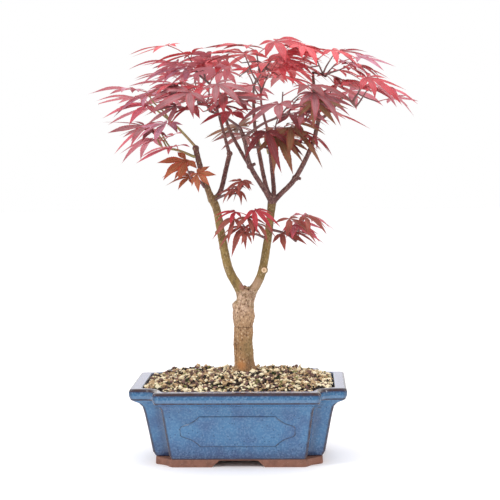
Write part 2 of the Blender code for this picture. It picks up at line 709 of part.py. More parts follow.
class Crown:
    """One mass of foliage: its stem, shoots, stalks and leaves, grown by a seeded rule."""

    def __init__(self, mass, line, growth):
        self.mass = mass
        self.line = line
        self.growth = growth
        self.random = random.Random(mass.seed)
        self.centre = Vector(mass.centre)
        self.pieces = []
        self.shoots = []

    def inside(self, bm):
        """Whether every point of the piece is in the mass's own space."""
        reach = self.mass.reach
        for vert in bm.verts:
            away = vert.co - self.centre
            if sum((away[axis] / reach[axis]) ** SPACE_POWER for axis in range(3)) > 1.0:
                return False
        return True

    def grow_stem(self):
        """The stem, in two internodes from the bough to the low middle of the space."""
        hub = self.centre - Vector((0.0, 0.0, HUB_DROP * self.mass.reach[2]))
        start = stem_start(self.line, self.mass.along, hub)
        side = Vector((self.random.uniform(-1, 1), self.random.uniform(-1, 1), STEM_BEND_RISE)) * STEM_BEND
        self.nodes = [start, start.lerp(hub, 0.5) + side, hub]
        self.heading = math.atan2(hub.y - start.y, hub.x - start.x)
        radii = (STEM_RADIUS, (STEM_RADIUS + SHOOT_RADIUS) / 2, SHOOT_RADIUS)
        for number in range(2):
            ends = self.nodes[number], self.nodes[number + 1]
            self.pieces.append(straight_twig(*ends, radii[number], radii[number + 1], SUNK * number))
            self.growth.add(self.mass.name, straight_twig(*ends, radii[number] + CLEAR, radii[number + 1] + CLEAR))

    def grow_shoots(self):
        """Shoots fan out from the stem's end and from below it, clear of what stands."""
        bend, hub = self.nodes[1:]
        count = self.mass.shoots
        order = sorted(range(count), key=lambda number: abs(number - (count - 1) / 2))
        for rank, number in enumerate(order):
            heading = self.heading + (number - (count - 1) / 2) * SHOOT_FAN
            heading += self.random.uniform(-SHOOT_WANDER, SHOOT_WANDER)
            root = hub.lerp(bend, SHOOT_SPACING * rank)
            room = [reach - BLADE_ROOM * self.mass.leaf_scale for reach in self.mass.reach[:2]]
            away = Vector((math.cos(heading) * max(SHORTEST_SHOOT, room[0]),
                           math.sin(heading) * max(SHORTEST_SHOOT, room[1]),
                           self.random.uniform(0.0, SHOOT_RISE) * self.mass.reach[2]))
            end = self.centre + away
            guard = straight_twig(root, end, SHOOT_RADIUS + CLEAR, STALK_RADIUS + CLEAR)
            if not self.growth.touches(guard, ignored=(self.mass.name,)):
                self.pieces.append(straight_twig(root, end, SHOOT_RADIUS, STALK_RADIUS, SUNK))
                self.growth.add(self.mass.name, guard)
                self.shoots.append((root, end, heading))

    def grow_leaves(self):
        """A leaf at each shoot's tip, pairs at its nodes, and a pair at the stem's bend."""
        for root, end, heading in self.shoots:
            self.grow_leaf(end, heading, 0.0, SUNK)
        for root, end, heading in self.shoots:
            self.grow_pairs(root, end, heading)
        for side in (-1, 1):
            self.grow_leaf(self.nodes[1], self.heading, side * math.radians(BEND_LEAF_SPREAD))

    def grow_pairs(self, root, end, heading):
        """The opposite pairs of leaves along one shoot."""
        for share, spread in PAIRS:
            node = root.lerp(end, share)
            for side in (-1, 1):
                self.grow_leaf(node, heading, side * math.radians(spread))

    def grow_leaf(self, node, heading, spread, sunk=0.0):
        """A leaf on the longest stalk that keeps it in the space and clear of all that stands."""
        lift = self.random.uniform(*STALK_RISES)
        scale = self.random.uniform(*LEAF_SIZES) * self.mass.leaf_scale
        pitch = math.radians(self.random.uniform(*LEAF_PITCHES))
        roll = math.radians(self.random.uniform(*LEAF_ROLLS))
        for turn in TURNS_TRIED:
            aim = heading + spread + math.radians(turn)
            way = Vector((math.cos(aim), math.sin(aim), lift)).normalized()
            for length in STALK_LENGTHS:
                end = node + way * length * self.mass.leaf_scale
                place = leaf_place(end, aim, pitch, roll)
                guard = leaf_blade(place, scale, CLEAR)
                if not self.inside(guard) or self.growth.touches(guard):
                    continue
                stalk_guard = straight_twig(node, end, STALK_RADIUS + CLEAR, STALK_RADIUS + CLEAR)
                if self.growth.touches(stalk_guard, ignored=(self.mass.name,)):
                    continue
                self.pieces.append(leaf_blade(place, scale, root=node - way * sunk))
                self.growth.add(self.mass.name + " leaf", guard)
                self.growth.add(self.mass.name, stalk_guard)
                return


def connected_parts(bm):
    """The bmesh's faces, grouped into parts that hang together."""
    left = set(bm.faces)
    parts = []
    while left:
        front = [left.pop()]
        part = list(front)
        while front:
            face = front.pop()
            for edge in face.edges:
                for near in edge.link_faces:
                    if near in left:
                        left.discard(near)
                        front.append(near)
                        part.append(near)
        parts.append(part)
    return parts


def keep_largest_part(thing):
    """Drop loose scraps and sealed hollows, which leaves one closed body."""
    bm = bmesh.new()
    bm.from_mesh(thing.data)
    parts = sorted(connected_parts(bm), key=len)
    for part in parts[:-1]:
        bmesh.ops.delete(bm, geom=part, context="FACES")
    bm.to_mesh(thing.data)
    bm.free()


def fuse_crown(crown, collection, workshop):
    """Join a mass's pieces into one solid."""
    first, *others = crown.pieces
    solid = object_from(first, crown.mass.name, collection, "leaf")
    for number, bm in enumerate(others):
        object_from(bm, f"piece_{number}", workshop)
    apply_boolean(solid, "UNION", workshop)
    remove_objects(workshop.objects)
    keep_largest_part(solid)
    return solid


def make_foliage(lines, collection, workshop):
    """Every mass of foliage, each clear of the limbs and of the other masses."""
    growth = Growth()
    for name, line in lines.items():
        guard = tapered_tube("guard", line, CLEAR, BOUGH_ROUNDNESS, workshop)
        bm = bmesh.new()
        bm.from_mesh(guard.data)
        growth.add(name, bm)
        bm.free()
        remove_objects([guard])
    crowns = [Crown(mass, lines[mass.limb], growth) for mass in MASSES]
    for crown in crowns:
        crown.grow_stem()
    for crown in crowns:
        crown.grow_shoots()
    for crown in crowns:
        crown.grow_leaves()
    return [fuse_crown(crown, collection, workshop) for crown in crowns]


def main():
    """Build the pot, the soil, the trunk, the boughs and the foliage."""
    for thing in list(bpy.data.objects):
        bpy.data.objects.remove(thing, do_unlink=True)
    bonsai = bpy.data.collections.new("maple_bonsai")
    cutters = bpy.data.collections.new("cutters")
    workshop = bpy.data.collections.new("workshop")
    for collection in (bonsai, cutters, workshop):
        bpy.context.scene.collection.children.link(collection)
    parts = [make_pot(bonsai, cutters), make_soil(bonsai)]
    lines = {"trunk": smooth_line(TRUNK_LINE)}
    lines.update({limb.name: smooth_line(limb.line) for limb in LIMBS})
    parts.append(make_limb("trunk", (), "trunk", lines, bonsai, workshop))
    for limb in LIMBS:
        parts.append(make_limb(limb.name, limb.springs_from, limb.finish, lines, bonsai, workshop))
    parts += make_foliage(lines, bonsai, workshop)
    origin = bpy.data.objects.new("plant_place", None)
    bonsai.objects.link(origin)
    origin.location = POT_FROM_ORIGIN
    origin.rotation_euler.z = math.radians(POT_TURN)
    for part in parts:
        part.parent = origin


main()
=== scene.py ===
"""Looks of a potted Japanese maple bonsai: glaze, soil grains, bark, twigs, leaves, studio and camera.

Places are from the middle of the pot's underside, as in the part's source, and PLANT_PLACE takes them
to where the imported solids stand. They are in metres, and in millimetres in the tables of limbs, knobs,
stubs and masses. The pot's long front looks along -Y.
"""

import logging
import math
import random
from collections.abc import Callable, Iterable, Sequence
from dataclasses import dataclass, field
from enum import Enum
from operator import mul

import bmesh
import bpy
import numpy as np
from mathutils import Matrix, Vector, noise
from mathutils.bvhtree import BVHTree
from mathutils.kdtree import KDTree


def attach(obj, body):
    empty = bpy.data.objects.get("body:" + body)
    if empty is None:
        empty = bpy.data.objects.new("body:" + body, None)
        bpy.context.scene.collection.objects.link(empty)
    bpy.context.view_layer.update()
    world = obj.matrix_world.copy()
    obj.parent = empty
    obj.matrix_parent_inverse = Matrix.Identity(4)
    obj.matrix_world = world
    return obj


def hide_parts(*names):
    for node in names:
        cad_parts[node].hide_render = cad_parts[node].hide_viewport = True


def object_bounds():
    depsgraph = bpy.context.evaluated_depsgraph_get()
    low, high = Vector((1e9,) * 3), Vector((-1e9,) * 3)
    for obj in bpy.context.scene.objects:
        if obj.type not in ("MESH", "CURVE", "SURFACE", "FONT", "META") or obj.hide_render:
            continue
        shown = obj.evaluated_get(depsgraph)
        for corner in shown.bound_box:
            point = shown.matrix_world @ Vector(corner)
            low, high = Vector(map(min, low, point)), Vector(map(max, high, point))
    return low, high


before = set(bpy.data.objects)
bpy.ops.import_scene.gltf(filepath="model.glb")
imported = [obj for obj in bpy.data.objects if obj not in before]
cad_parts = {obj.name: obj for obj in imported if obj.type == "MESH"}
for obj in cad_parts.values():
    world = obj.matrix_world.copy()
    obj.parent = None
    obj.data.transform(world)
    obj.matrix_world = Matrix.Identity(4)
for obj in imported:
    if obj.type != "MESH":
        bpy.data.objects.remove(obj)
CAD_BOX = [list(corner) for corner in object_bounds()]

log = logging.getLogger("bonsai")

POT_FROM_ORIGIN = (-0.0178, -0.0064, 0.0)
POT_TURN = 0.1
ROOM_SPARE = 0.0006
PLANT_ROOM = [[corner[axis] - POT_FROM_ORIGIN[axis] + spare for axis in range(3)]
              for corner, spare in zip(CAD_BOX, (ROOM_SPARE, -ROOM_SPARE))]
PLANT_PLACE = Matrix.Translation(POT_FROM_ORIGIN) @ Matrix.Rotation(math.radians(POT_TURN), 4, "Z")

Pair = tuple[float, float]
Point = tuple[float, float, float]
Colour = tuple[float, float, float]
Line = list[tuple[Vector, float]]
Faces = Sequence[Sequence[int]]
Piece = bpy.types.Object
Mesh = bpy.types.Mesh
Material = bpy.types.Material
Socket = bpy.types.NodeSocket


# Small tools

def clamp(value: float) -> float:
    """Keep a value from 0 to 1."""
    return max(0.0, min(1.0, value))


def in_metres(*sizes: float) -> tuple[float, ...]:
    """Turn millimetres into metres."""
    return tuple(size / 1000 for size in sizes)


def whole_outline(quarter: list[Pair]) -> list[Pair]:
    """Mirror the corners of one quarter into a whole outline."""
    half = quarter + [(-x, y) for x, y in reversed(quarter)]
    return half + [(-x, -y) for x, y in half]


def ring_faces(rings: int, sides: int) -> list[list[int]]:
    """List the faces between rings of points.

    Args:
        rings: how many rings follow one another.
        sides: how many points each ring has.

    Returns:
        The faces, ring by ring.
    """
    steps = [(number, (number + 1) % sides) for number in range(sides)]
    return [[ring + low, ring + after, ring + after + sides, ring + low + sides]
            for ring in range(0, (rings - 1) * sides, sides) for low, after in steps]


def put_in_scene(name: str, data: bpy.types.ID) -> Piece:
    """Make an object of the data and link it to the scene."""
    made = bpy.data.objects.new(name, data)
    bpy.context.scene.collection.objects.link(made)
    return made


def read_vectors(items: bpy.types.bpy_prop_collection, name: str) -> np.ndarray:
    """Read a vector of each item, one row each."""
    values = np.empty(len(items) * 3)
    items.foreach_get(name, values)
    return values.reshape(-1, 3)


def mark_points(mesh: Mesh, name: str, shares: Sequence[float]) -> None:
    """Keep a share from 0 to 1 for each point, which the finishes read by its name."""
    mesh.attributes.new(name, "FLOAT", "POINT").data.foreach_set("value", shares)


# Mesh tools

class MeshParts:
    """Points and faces of many small forms, joined into one mesh at the end."""

    def __init__(self, name: str) -> None:
        """Start an empty mesh for the piece of this name."""
        self.name = name
        self.points: list[np.ndarray] = []
        self.maps: list[np.ndarray] = []
        self.faces: list[list[int]] = []
        self.finishes: list[int] = []
        self.count = 0

    def add(self, points: np.ndarray, faces: Faces, flat_map: np.ndarray | None = None,
            finishes: Sequence[int] = ()) -> None:
        """Add one form.

        Args:
            points: its points, one row each.
            faces: the point numbers of each face.
            flat_map: the flat coordinates of each point, if it has them.
            finishes: the number of each face's material, if not all 0.
        """
        self.points.append(points)
        self.maps.append(np.zeros((len(points), 2)) if flat_map is None else flat_map)
        self.faces.extend([corner + self.count for corner in face] for face in faces)
        self.finishes.extend(finishes or [0] * len(faces))
        self.count += len(points)

    def mesh(self) -> Mesh:
        """Make the mesh of all forms, in the plant's own places."""
        mesh = bpy.data.meshes.new(self.name)
        mesh.from_pydata(np.concatenate(self.points).tolist(), [], self.faces)
        mesh.polygons.foreach_set("material_index", self.finishes)
        return mesh

    def build(self, materials: Sequence[Material], smooth: bool = True, mapped: bool = False) -> Piece:
        """Make the object, moved to the plant's place.

        Args:
            materials: its materials.
            smooth: whether its faces are shaded smooth.
            mapped: whether it keeps its flat coordinates, as a UV map.

        Returns:
            The new object.
        """
        mesh = self.mesh()
        if mapped:
            corner_points = np.empty(len(mesh.loops), dtype=np.int32)
            mesh.loops.foreach_get("vertex_index", corner_points)
            layer = mesh.uv_layers.new(name="lobe")
            layer.data.foreach_set("uv", np.concatenate(self.maps)[corner_points].ravel())
        return placed_object(self.name, mesh, materials, smooth)


def placed_object(name: str, mesh: Mesh, materials: Sequence[Material], smooth: bool = True) -> Piece:
    """Move a mesh to the plant's place and put it in the scene as an object.

    Args:
        name: name of the object.
        mesh: its mesh.
        materials: its materials.
        smooth: whether its faces are shaded smooth.

    Returns:
        The new object.
    """
    mesh.transform(PLANT_PLACE)
    for material in materials:
        mesh.materials.append(material)
    mesh.shade_smooth() if smooth else mesh.shade_flat()
    mesh.update()
    return put_in_scene(name, mesh)


def dress(piece: Piece, slot: str, nodes: Sequence[str] = ()) -> None:
    """Put a piece on the body, in the place of the solids that it stands for.

    Args:
        piece: the finished object.
        slot: the name of its material slot, which is only logged.
        nodes: the solids that it replaces.
    """
    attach(piece, "root")
    if nodes:
        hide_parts(*nodes)
    log.info("%s: %d faces, slot %s, for %d solids", piece.name, len(piece.data.polygons), slot, len(nodes))


def evaluated_mesh(thing: Piece) -> Mesh:
    """Make a new mesh of an object with its modifiers applied."""
    graph = bpy.context.evaluated_depsgraph_get()
    return bpy.data.meshes.new_from_object(thing.evaluated_get(graph))


def smooth_line(line: Sequence[tuple[Point, float]], step: float) -> Line:
    """Run a smooth curve through the points of a line.

    Args:
        line: places with their radii.
        step: spacing of the new points.

    Returns:
        The finer line.
    """
    places = [Vector(place) for place, _ in line]
    radii = [radius for _, radius in line]
    padded = [places[0] * 2 - places[1]] + places + [places[-1] * 2 - places[-2]]
    smooth = []
    for index in range(len(places) - 1):
        p0, p1, p2, p3 = padded[index:index + 4]
        steps = max(1, round((p2 - p1).length / step))
        for number in range(steps):
            t = number / steps
            place = 0.5 * (2 * p1 + (p2 - p0) * t + (2 * p0 - 5 * p1 + 4 * p2 - p3) * t ** 2
                           + (3 * p1 - p0 - 3 * p2 + p3) * t ** 3)
            smooth.append((place, radii[index] + (radii[index + 1] - radii[index]) * t))
    smooth.append((places[-1], radii[-1]))
    return smooth


def ring_tube(line: Line, sides: int, relief: Callable[[float, Vector], float] | None = None,
              closed: bool = True) -> tuple[np.ndarray, list[list[int]]]:
    """Make a round tube along a line.

    Args:
        line: places with their radii.
        sides: how many sides it has.
        relief: the factor on its radius at an angle and a place.
        closed: whether a fan of faces closes each end.

    Returns:
        The points and the faces.
    """
    places = [place for place, _ in line]
    ways = [(b - a).normalized() for a, b in zip(places, places[1:])]
    ways = [ways[0]] + [(a + b).normalized() for a, b in zip(ways, ways[1:])] + [ways[-1]]
    across = ways[0].orthogonal().normalized()
    points = []
    for (place, radius), way in zip(line, ways):
        across = (across - way * across.dot(way)).normalized()
        beside = way.cross(across)
        for number in range(sides):
            angle = 2 * math.pi * number / sides
            factor = relief(angle, place) if relief else 1.0
            points.append(place + (across * math.cos(angle) + beside * math.sin(angle)) * radius * factor)
    faces = ring_faces(len(line), sides)
    if closed:
        last, foot = (len(line) - 1) * sides, len(points)
        points += [places[0], places[-1]]
        faces += [[foot, (number + 1) % sides, number] for number in range(sides)]
        faces += [[foot + 1, last + number, last + (number + 1) % sides] for number in range(sides)]
    return np.array([tuple(point) for point in points]), faces


# Shader tools

@dataclass
class Nodes:
    """A node tree under construction."""

    tree: bpy.types.NodeTree

    def feed(self, socket: Socket, value: object) -> None:
        """Link a socket to an input, or set the input's plain value.

        Args:
            socket: the input.
            value: a socket, a number, a vector or a colour.
        """
        if isinstance(value, Socket):
            self.tree.links.new(value, socket)
        else:
            socket.default_value = (*value, 1.0) if socket.type == "RGBA" else value

    def node(self, kind: str, inputs: dict[str | int, object] | None = None,
             **settings: object) -> bpy.types.Node:
        """Add a node.

        Args:
            kind: the node's type name without the ShaderNode before it.
            inputs: sockets or plain values for its inputs, by name or number.
            **settings: its settings.

        Returns:
            The new node.
        """
        made = self.tree.nodes.new("ShaderNode" + kind)
        for key, value in settings.items():
            setattr(made, key, value)
        for key, value in (inputs or {}).items():
            self.feed(made.inputs[key], value)
        return made

    def math(self, operation: str, *values: object, clamped: bool = False) -> Socket:
        """Work out an operation on sockets or numbers, kept from 0 to 1 if clamped."""
        made = self.node("Math", dict(enumerate(values)), operation=operation, use_clamp=clamped)
        return made.outputs["Value"]

    def fade(self, value: object, low: object, high: object) -> Socket:
        """Map low to high onto 0 to 1, smoothly."""
        made = self.node("MapRange", {"Value": value, "From Min": low, "From Max": high},
                         interpolation_type="SMOOTHSTEP")
        return made.outputs["Result"]

    def mix(self, mask: object, low: object, high: object, share: float = 1.0) -> Socket:
        """Mix two colours.

        Args:
            mask: socket or plain share of the second colour.
            low: colour where the mask is 0.
            high: colour where the mask is 1.
            share: factor on the mask.

        Returns:
            The mixed colour's socket.
        """
        if share != 1.0:
            mask = self.math("MULTIPLY", mask, share)
        return self.node("Mix", {"Factor": mask, "A": low, "B": high}, data_type="RGBA").outputs["Result"]


class Group(Nodes):
    """A node group that several finishes share, under construction."""

    def __init__(self, name: str, outputs: Sequence[str], **inputs: float | Point) -> None:
        """Start the group.

        Args:
            name: name of the group.
            outputs: names of its outputs, of which Color is a colour.
            **inputs: the usual value of each input, with _ for spaces in its name.
        """
        super().__init__(bpy.data.node_groups.new(name, "ShaderNodeTree"))
        sockets = self.tree.interface
        for key, value in inputs.items():
            three = "Color" if key.endswith(("Tone", "Color")) else "Vector"
            kind = "Float" if isinstance(value, float) else three
            name = key.replace("_", " ")
            made = sockets.new_socket(name, in_out="INPUT", socket_type="NodeSocket" + kind)
            made.default_value = (*value, 1.0) if kind == "Color" else value
        for key in outputs:
            kind = "Color" if key == "Color" else "Float"
            sockets.new_socket(key, in_out="OUTPUT", socket_type="NodeSocket" + kind)
        self.given = self.tree.nodes.new("NodeGroupInput").outputs
        self.wanted = self.tree.nodes.new("NodeGroupOutput").inputs
        self.place = self.node("TexCoord").outputs["Object"]
        if "Stretch" in inputs:
            both = {0: self.place, 1: self.given["Stretch"]}
            self.place = self.node("VectorMath", both, operation="MULTIPLY").outputs["Vector"]

    def cloud(self, scale: object, **inputs: object) -> Socket:
        """Make clouds of this scale at the place on the object."""
        made = self.node("TexNoise", {"Vector": self.place, "Scale": scale, **inputs})
        return made.outputs["Fac"]

    def give(self, **values: Socket) -> None:
        """Feed the group's outputs."""
        for key, value in values.items():
            self.feed(self.wanted[key], value)


class Effects:
    """The node groups that several finishes share, each made once and then found by its name."""

    EVEN = (1.0, 1.0, 1.0)

    def __init__(self) -> None:
        """Make the groups."""
        self.mottle()
        self.fleck()
        self.spot()
        self.climb()
        self.relief()

    def mottle(self) -> None:
        """Make the group that mixes two tones in soft patches."""
        group = Group("mottle", ("Color", "Mask"), Low_Tone=(0.2, 0.2, 0.2), High_Tone=(0.4, 0.4, 0.4),
                      Scale=100.0, Detail=4.0, Sharpness=0.5, Balance=0.5, Stretch=self.EVEN)
        given = group.given
        half = group.math("MULTIPLY_ADD", given["Sharpness"], -0.24, 0.25)
        low = group.math("SUBTRACT", given["Balance"], half)
        high = group.math("ADD", given["Balance"], half)
        mask = group.fade(group.cloud(given["Scale"], Detail=given["Detail"]), low, high)
        group.give(Mask=mask, Color=group.mix(mask, given["Low Tone"], given["High Tone"]))

    def fleck(self) -> None:
        """Make the group that scatters small flecks over a colour."""
        group = Group("fleck", ("Color", "Mask"), Color=(0.3, 0.3, 0.3), Fleck_Color=(0.1, 0.1, 0.1),
                      Scale=600.0, Size=0.25, Amount=0.5, Stretch=self.EVEN)
        given = group.given
        cells = group.node("TexVoronoi", {"Vector": group.place, "Scale": given["Scale"]}, feature="F1")
        near = group.fade(cells.outputs["Distance"], given["Size"], 0.0)
        shade = group.node("SeparateColor", {"Color": cells.outputs["Color"]})
        mask = group.math("MULTIPLY", near, group.math("LESS_THAN", shade.outputs["Red"], given["Amount"]))
        group.give(Mask=mask, Color=group.mix(mask, given["Color"], given["Fleck Color"]))

    def spot(self) -> None:
        """Make the group that masks a round spot with a ragged rim."""
        group = Group("spot", ("Mask",), Centre=(0.0, 0.0, 0.0), Radius=0.003, Softness=0.0008,
                      Raggedness=0.0005)
        given = group.given
        away = group.node("VectorMath", {0: group.place, 1: given["Centre"]}, operation="DISTANCE")
        shift = group.math("SUBTRACT", group.cloud(700.0), 0.5)
        ragged = group.math("MULTIPLY_ADD", shift, given["Raggedness"], away.outputs["Value"])
        outer = group.math("ADD", given["Radius"], given["Softness"])
        group.give(Mask=group.fade(ragged, outer, given["Radius"]))

    def climb(self) -> None:
        """Make the group that masks by height, with a wavering boundary."""
        group = Group("climb", ("Mask",), Low=0.1, High=0.2, Waver=0.01, Scale=80.0)
        given = group.given
        height = group.node("SeparateXYZ", {"Vector": group.place}).outputs["Z"]
        shift = group.math("SUBTRACT", group.cloud(given["Scale"]), 0.5)
        wavering = group.math("MULTIPLY_ADD", shift, given["Waver"], height)
        group.give(Mask=group.fade(wavering, given["Low"], given["High"]))

    def relief(self) -> None:
        """Make the group that gives a fine height, from coarse lumps and fine grain."""
        group = Group("relief", ("Height",), Scale=300.0, Grain_Scale=1500.0, Grain_Share=0.3,
                      Stretch=self.EVEN)
        given = group.given
        lumps, grain = group.cloud(given["Scale"]), group.cloud(given["Grain Scale"])
        group.give(Height=group.math("MULTIPLY_ADD", grain, given["Grain Share"], lumps))


class Shader(Nodes):
    """A node material under construction, round one Principled shader."""

    def __init__(self, name: str, roughness: float, **values: object) -> None:
        """Start the material.

        Args:
            name: name of the material.
            roughness: its plain roughness.
            **values: values of other shader inputs, with _ for spaces in their names.
        """
        self.material = bpy.data.materials.new(name)
        self.material.use_nodes = True
        super().__init__(self.material.node_tree)
        self.principled = self.tree.nodes["Principled BSDF"]
        self.set(Roughness=roughness, **values)

    def set(self, **values: object) -> None:
        """Feed inputs of the Principled shader with sockets or plain values."""
        for key, value in values.items():
            self.feed(self.principled.inputs[key.replace("_", " ")], value)

    def effect(self, name: str, **values: object) -> bpy.types.NodeOutputs:
        """Place a shared node group, with sockets or plain values for its inputs, and give its outputs."""
        inputs = {key.replace("_", " "): value for key, value in values.items()}
        return self.node("Group", inputs, node_tree=bpy.data.node_groups[name]).outputs

    def marked(self, name: str) -> Socket:
        """Read the share that the mesh keeps for each point under this name."""
        return self.node("Attribute", attribute_name=name).outputs["Fac"]

    def bump(self, height: object, depth: float) -> None:
        """Feed the shader's normal from a height, where 1 is this depth in metres."""
        made = self.node("Bump", {"Distance": depth, "Strength": 1.0, "Height": height})
        self.set(Normal=made.outputs["Normal"])

    def roughen(self, depth: float, **values: object) -> None:
        """Raise the shared relief by this depth in metres."""
        self.bump(self.effect("relief", **values)["Height"], depth)


# Studio

@dataclass(frozen=True)
class SoftLight:
    """An area light: where it stands, what it aims at, its size and its power."""

    name: str
    place: Point
    aim: Point
    size: Pair
    power: float
    colour: Colour = (1.0, 1.0, 1.0)

    def hang(self) -> None:
        """Hang the light."""
        data = bpy.data.lights.new(self.name, "AREA")
        data.shape = "RECTANGLE"
        data.size, data.size_y = self.size
        data.energy = self.power
        data.color = self.colour
        way = Vector(self.aim) - Vector(self.place)
        turn = way.to_track_quat("-Z", "Y").to_matrix().to_4x4()
        put_in_scene(self.name, data).matrix_world = Matrix.Translation(self.place) @ turn


@dataclass
class Studio:
    """The pale floor, the soft lights and the camera at the photo's viewing angle."""

    floor_half_width: float = 6.0
    floor_colour: Colour = (0.965, 0.945, 0.96)
    floor_glow: float = 0.1
    shadow_radius: float = 0.05
    shadow_fade: float = 0.014
    sky_colour: Colour = (1.0, 1.0, 1.0)
    sky_strength: float = 1.0
    yaw: float = 2.33
    pitch: float = 4.03
    roll: float = -0.6
    distance: float = 1.505
    aim_along: float = 0.0119
    aim_height: float = 0.2172
    sensor_width: float = 36.0
    focus_in_frame_widths: float = 1441.0 / 500.0
    lights: tuple[SoftLight, ...] = (
        SoftLight("key", (-1.05, -0.85, 1.15), (0.0, 0.0, 0.25), (0.28, 0.42), 9.0),
        SoftLight("fill", (1.2, -0.7, 0.8), (0.0, 0.0, 0.2), (0.22, 0.45), 4.0),
        SoftLight("top", (0.1, 0.25, 1.5), (0.0, 0.0, 0.2), (1.2, 1.2), 7.0),
    )

    def build(self) -> None:
        """Lay the floor, hang the lights and set up the camera."""
        self.lay_floor()
        self.light_sky()
        for light in self.lights:
            light.hang()
        self.set_camera()

    def lay_floor(self) -> None:
        """Lay a large plain floor at the height of the pot's feet, which glows a little to stay white,
        except in a spot round the pot's middle, where the missing glow is a painted shadow.
        """
        half = self.floor_half_width
        mesh = bpy.data.meshes.new("floor")
        corners = [(-half, -half, 0), (half, -half, 0), (half, half, 0), (-half, half, 0)]
        mesh.from_pydata(corners, [], [(0, 1, 2, 3)])
        paper = Shader("floor_paper", 0.75, Base_Color=self.floor_colour, Emission_Color=self.sky_colour)
        # Painted shadow: the floor's glow fades out in a spot round the pot's middle, so the floor is
        # darker under the pot and just round its feet.
        under = paper.effect("spot", Centre=POT_FROM_ORIGIN, Radius=self.shadow_radius,
                             Softness=self.shadow_fade, Raggedness=0.0)["Mask"]
        glow = paper.math("MULTIPLY_ADD", under, -self.floor_glow, self.floor_glow)
        paper.set(Emission_Strength=glow)
        mesh.materials.append(paper.material)
        floor = put_in_scene("floor", mesh)

    def light_sky(self) -> None:
        """Surround the scene with even white light."""
        world = bpy.data.worlds.new("sky")
        world.use_nodes = True
        sky = world.node_tree.nodes["Background"]
        sky.inputs["Color"].default_value = (*self.sky_colour, 1.0)
        sky.inputs["Strength"].default_value = self.sky_strength
        bpy.context.scene.world = world
        bpy.context.scene.view_settings.view_transform = "Standard"

    def set_camera(self) -> None:
        """Stand the camera where the photo was taken from."""
        camera = put_in_scene("camera", bpy.data.cameras.new("camera"))
        camera.data.sensor_width = self.sensor_width
        camera.data.lens = self.focus_in_frame_widths * self.sensor_width
        yaw, tilt, roll = (Matrix.Rotation(math.radians(angle), 4, axis) for angle, axis in (
            (self.yaw, "Z"), (90.0 - self.pitch, "X"), (self.roll, "Z")))
        aim = Matrix.Translation((self.aim_along, 0.0, self.aim_height))
        away = Matrix.Translation((0.0, 0.0, self.distance))
        camera.matrix_world = Matrix.Translation(POT_FROM_ORIGIN) @ yaw @ aim @ tilt @ away @ roll
        bpy.context.scene.camera = camera


# Pot

@dataclass(frozen=True)
class GlazeFinish:
    """The speckled blue glaze and the bare clay where it stops."""

    wall: Colour = (0.058, 0.17, 0.325)
    wall_dark: Colour = (0.046, 0.1, 0.225)
    pale_speck: Colour = (0.2, 0.34, 0.5)
    dark_speck: Colour = (0.02, 0.04, 0.11)
    brown: Colour = (0.03, 0.012, 0.014)
    # Pale lavender on the rim's top: a painted reflection of the white surroundings in the glaze.
    rim_top_reflection: Colour = (0.42, 0.45, 0.62)
    clay: Colour = (0.235, 0.102, 0.068)
    clay_dark: Colour = (0.15, 0.062, 0.042)
    clay_grit: Colour = (0.42, 0.3, 0.22)
    # Bands by height, each with the heights where it fades in, its waver, colour and share: darker towards
    # the bottom of the wall; then on the rim's bead a pale band at its foot, a painted highlight, then
    # teal, then navy.
    bands: tuple[tuple[float, float, float, Colour, float], ...] = (
        (0.03, 0.006, 0.014, (0.036, 0.055, 0.135), 0.9),
        (0.07, 0.0708, 0.0006, (0.092, 0.182, 0.31), 0.8),
        (0.0726, 0.0746, 0.001, (0.01, 0.098, 0.22), 0.95),
        (0.0756, 0.0784, 0.002, (0.012, 0.028, 0.095), 0.9))

    def glaze(self) -> Material:
        """Make the glaze, whose colour changes from the wall over the rim's bands to its brown edges, with
        a painted reflection on the rim's top.

        Returns:
            The material.
        """
        shader = Shader("blue_glaze", 0.16, Specular_IOR_Level=0.36, Coat_Weight=0.25, Coat_Roughness=0.05)
        colour = shader.effect("mottle", Low_Tone=self.wall_dark, High_Tone=self.wall, Scale=38.0,
                               Detail=5.0, Sharpness=0.25, Balance=0.44)["Color"]
        for low, high, waver, tone, share in self.bands:
            band = shader.effect("climb", Low=low, High=high, Waver=waver, Scale=90.0)["Mask"]
            colour = shader.mix(band, colour, tone, share)
        fine = shader.effect("mottle", Scale=520.0, Detail=3.0, Sharpness=0.55, Balance=0.56)["Mask"]
        colour = shader.mix(fine, colour, self.pale_speck, 0.28)
        colour = shader.effect("fleck", Color=colour, Fleck_Color=self.dark_speck, Scale=430.0,
                               Size=0.42, Amount=0.22)["Color"]
        broken = shader.effect("mottle", Scale=260.0, Sharpness=0.3, Balance=0.42)["Mask"]
        broken = shader.math("MULTIPLY_ADD", broken, 0.35, 0.65)
        # Brown where the glaze breaks over edges; along the lower edges of the raised panels it is partly a
        # painted shadow.
        edge_brown = shader.math("MULTIPLY", shader.marked("edge"), broken, clamped=True)
        # Painted reflection: the rim's top takes the pale lavender of the white surroundings mirrored in
        # the glaze.
        reflection_on_top = shader.effect("climb", Low=0.0802, High=0.08045, Waver=0.0002, Scale=200.0)["Mask"]
        colour = shader.mix(reflection_on_top, colour, self.rim_top_reflection)
        shader.set(Base_Color=shader.mix(edge_brown, colour, self.brown),
                   Roughness=shader.math("MULTIPLY_ADD", fine, 0.1, 0.11))
        shader.roughen(0.00018, Scale=160.0, Grain_Scale=700.0, Grain_Share=0.35)
        return shader.material

    def bare_clay(self) -> Material:
        """Make the unglazed clay of the feet.

        Returns:
            The material.
        """
        shader = Shader("bare_clay", 0.82)
        cloud = shader.effect("mottle", Low_Tone=self.clay_dark, High_Tone=self.clay, Scale=170.0,
                              Detail=6.0, Sharpness=0.2, Balance=0.42)["Color"]
        grit = shader.effect("fleck", Color=cloud, Fleck_Color=self.clay_grit, Scale=900.0, Size=0.35,
                             Amount=0.3)["Color"]
        shader.set(Base_Color=grit)
        shader.roughen(0.0003, Scale=500.0, Grain_Scale=2200.0, Grain_Share=0.5)
        return shader.material


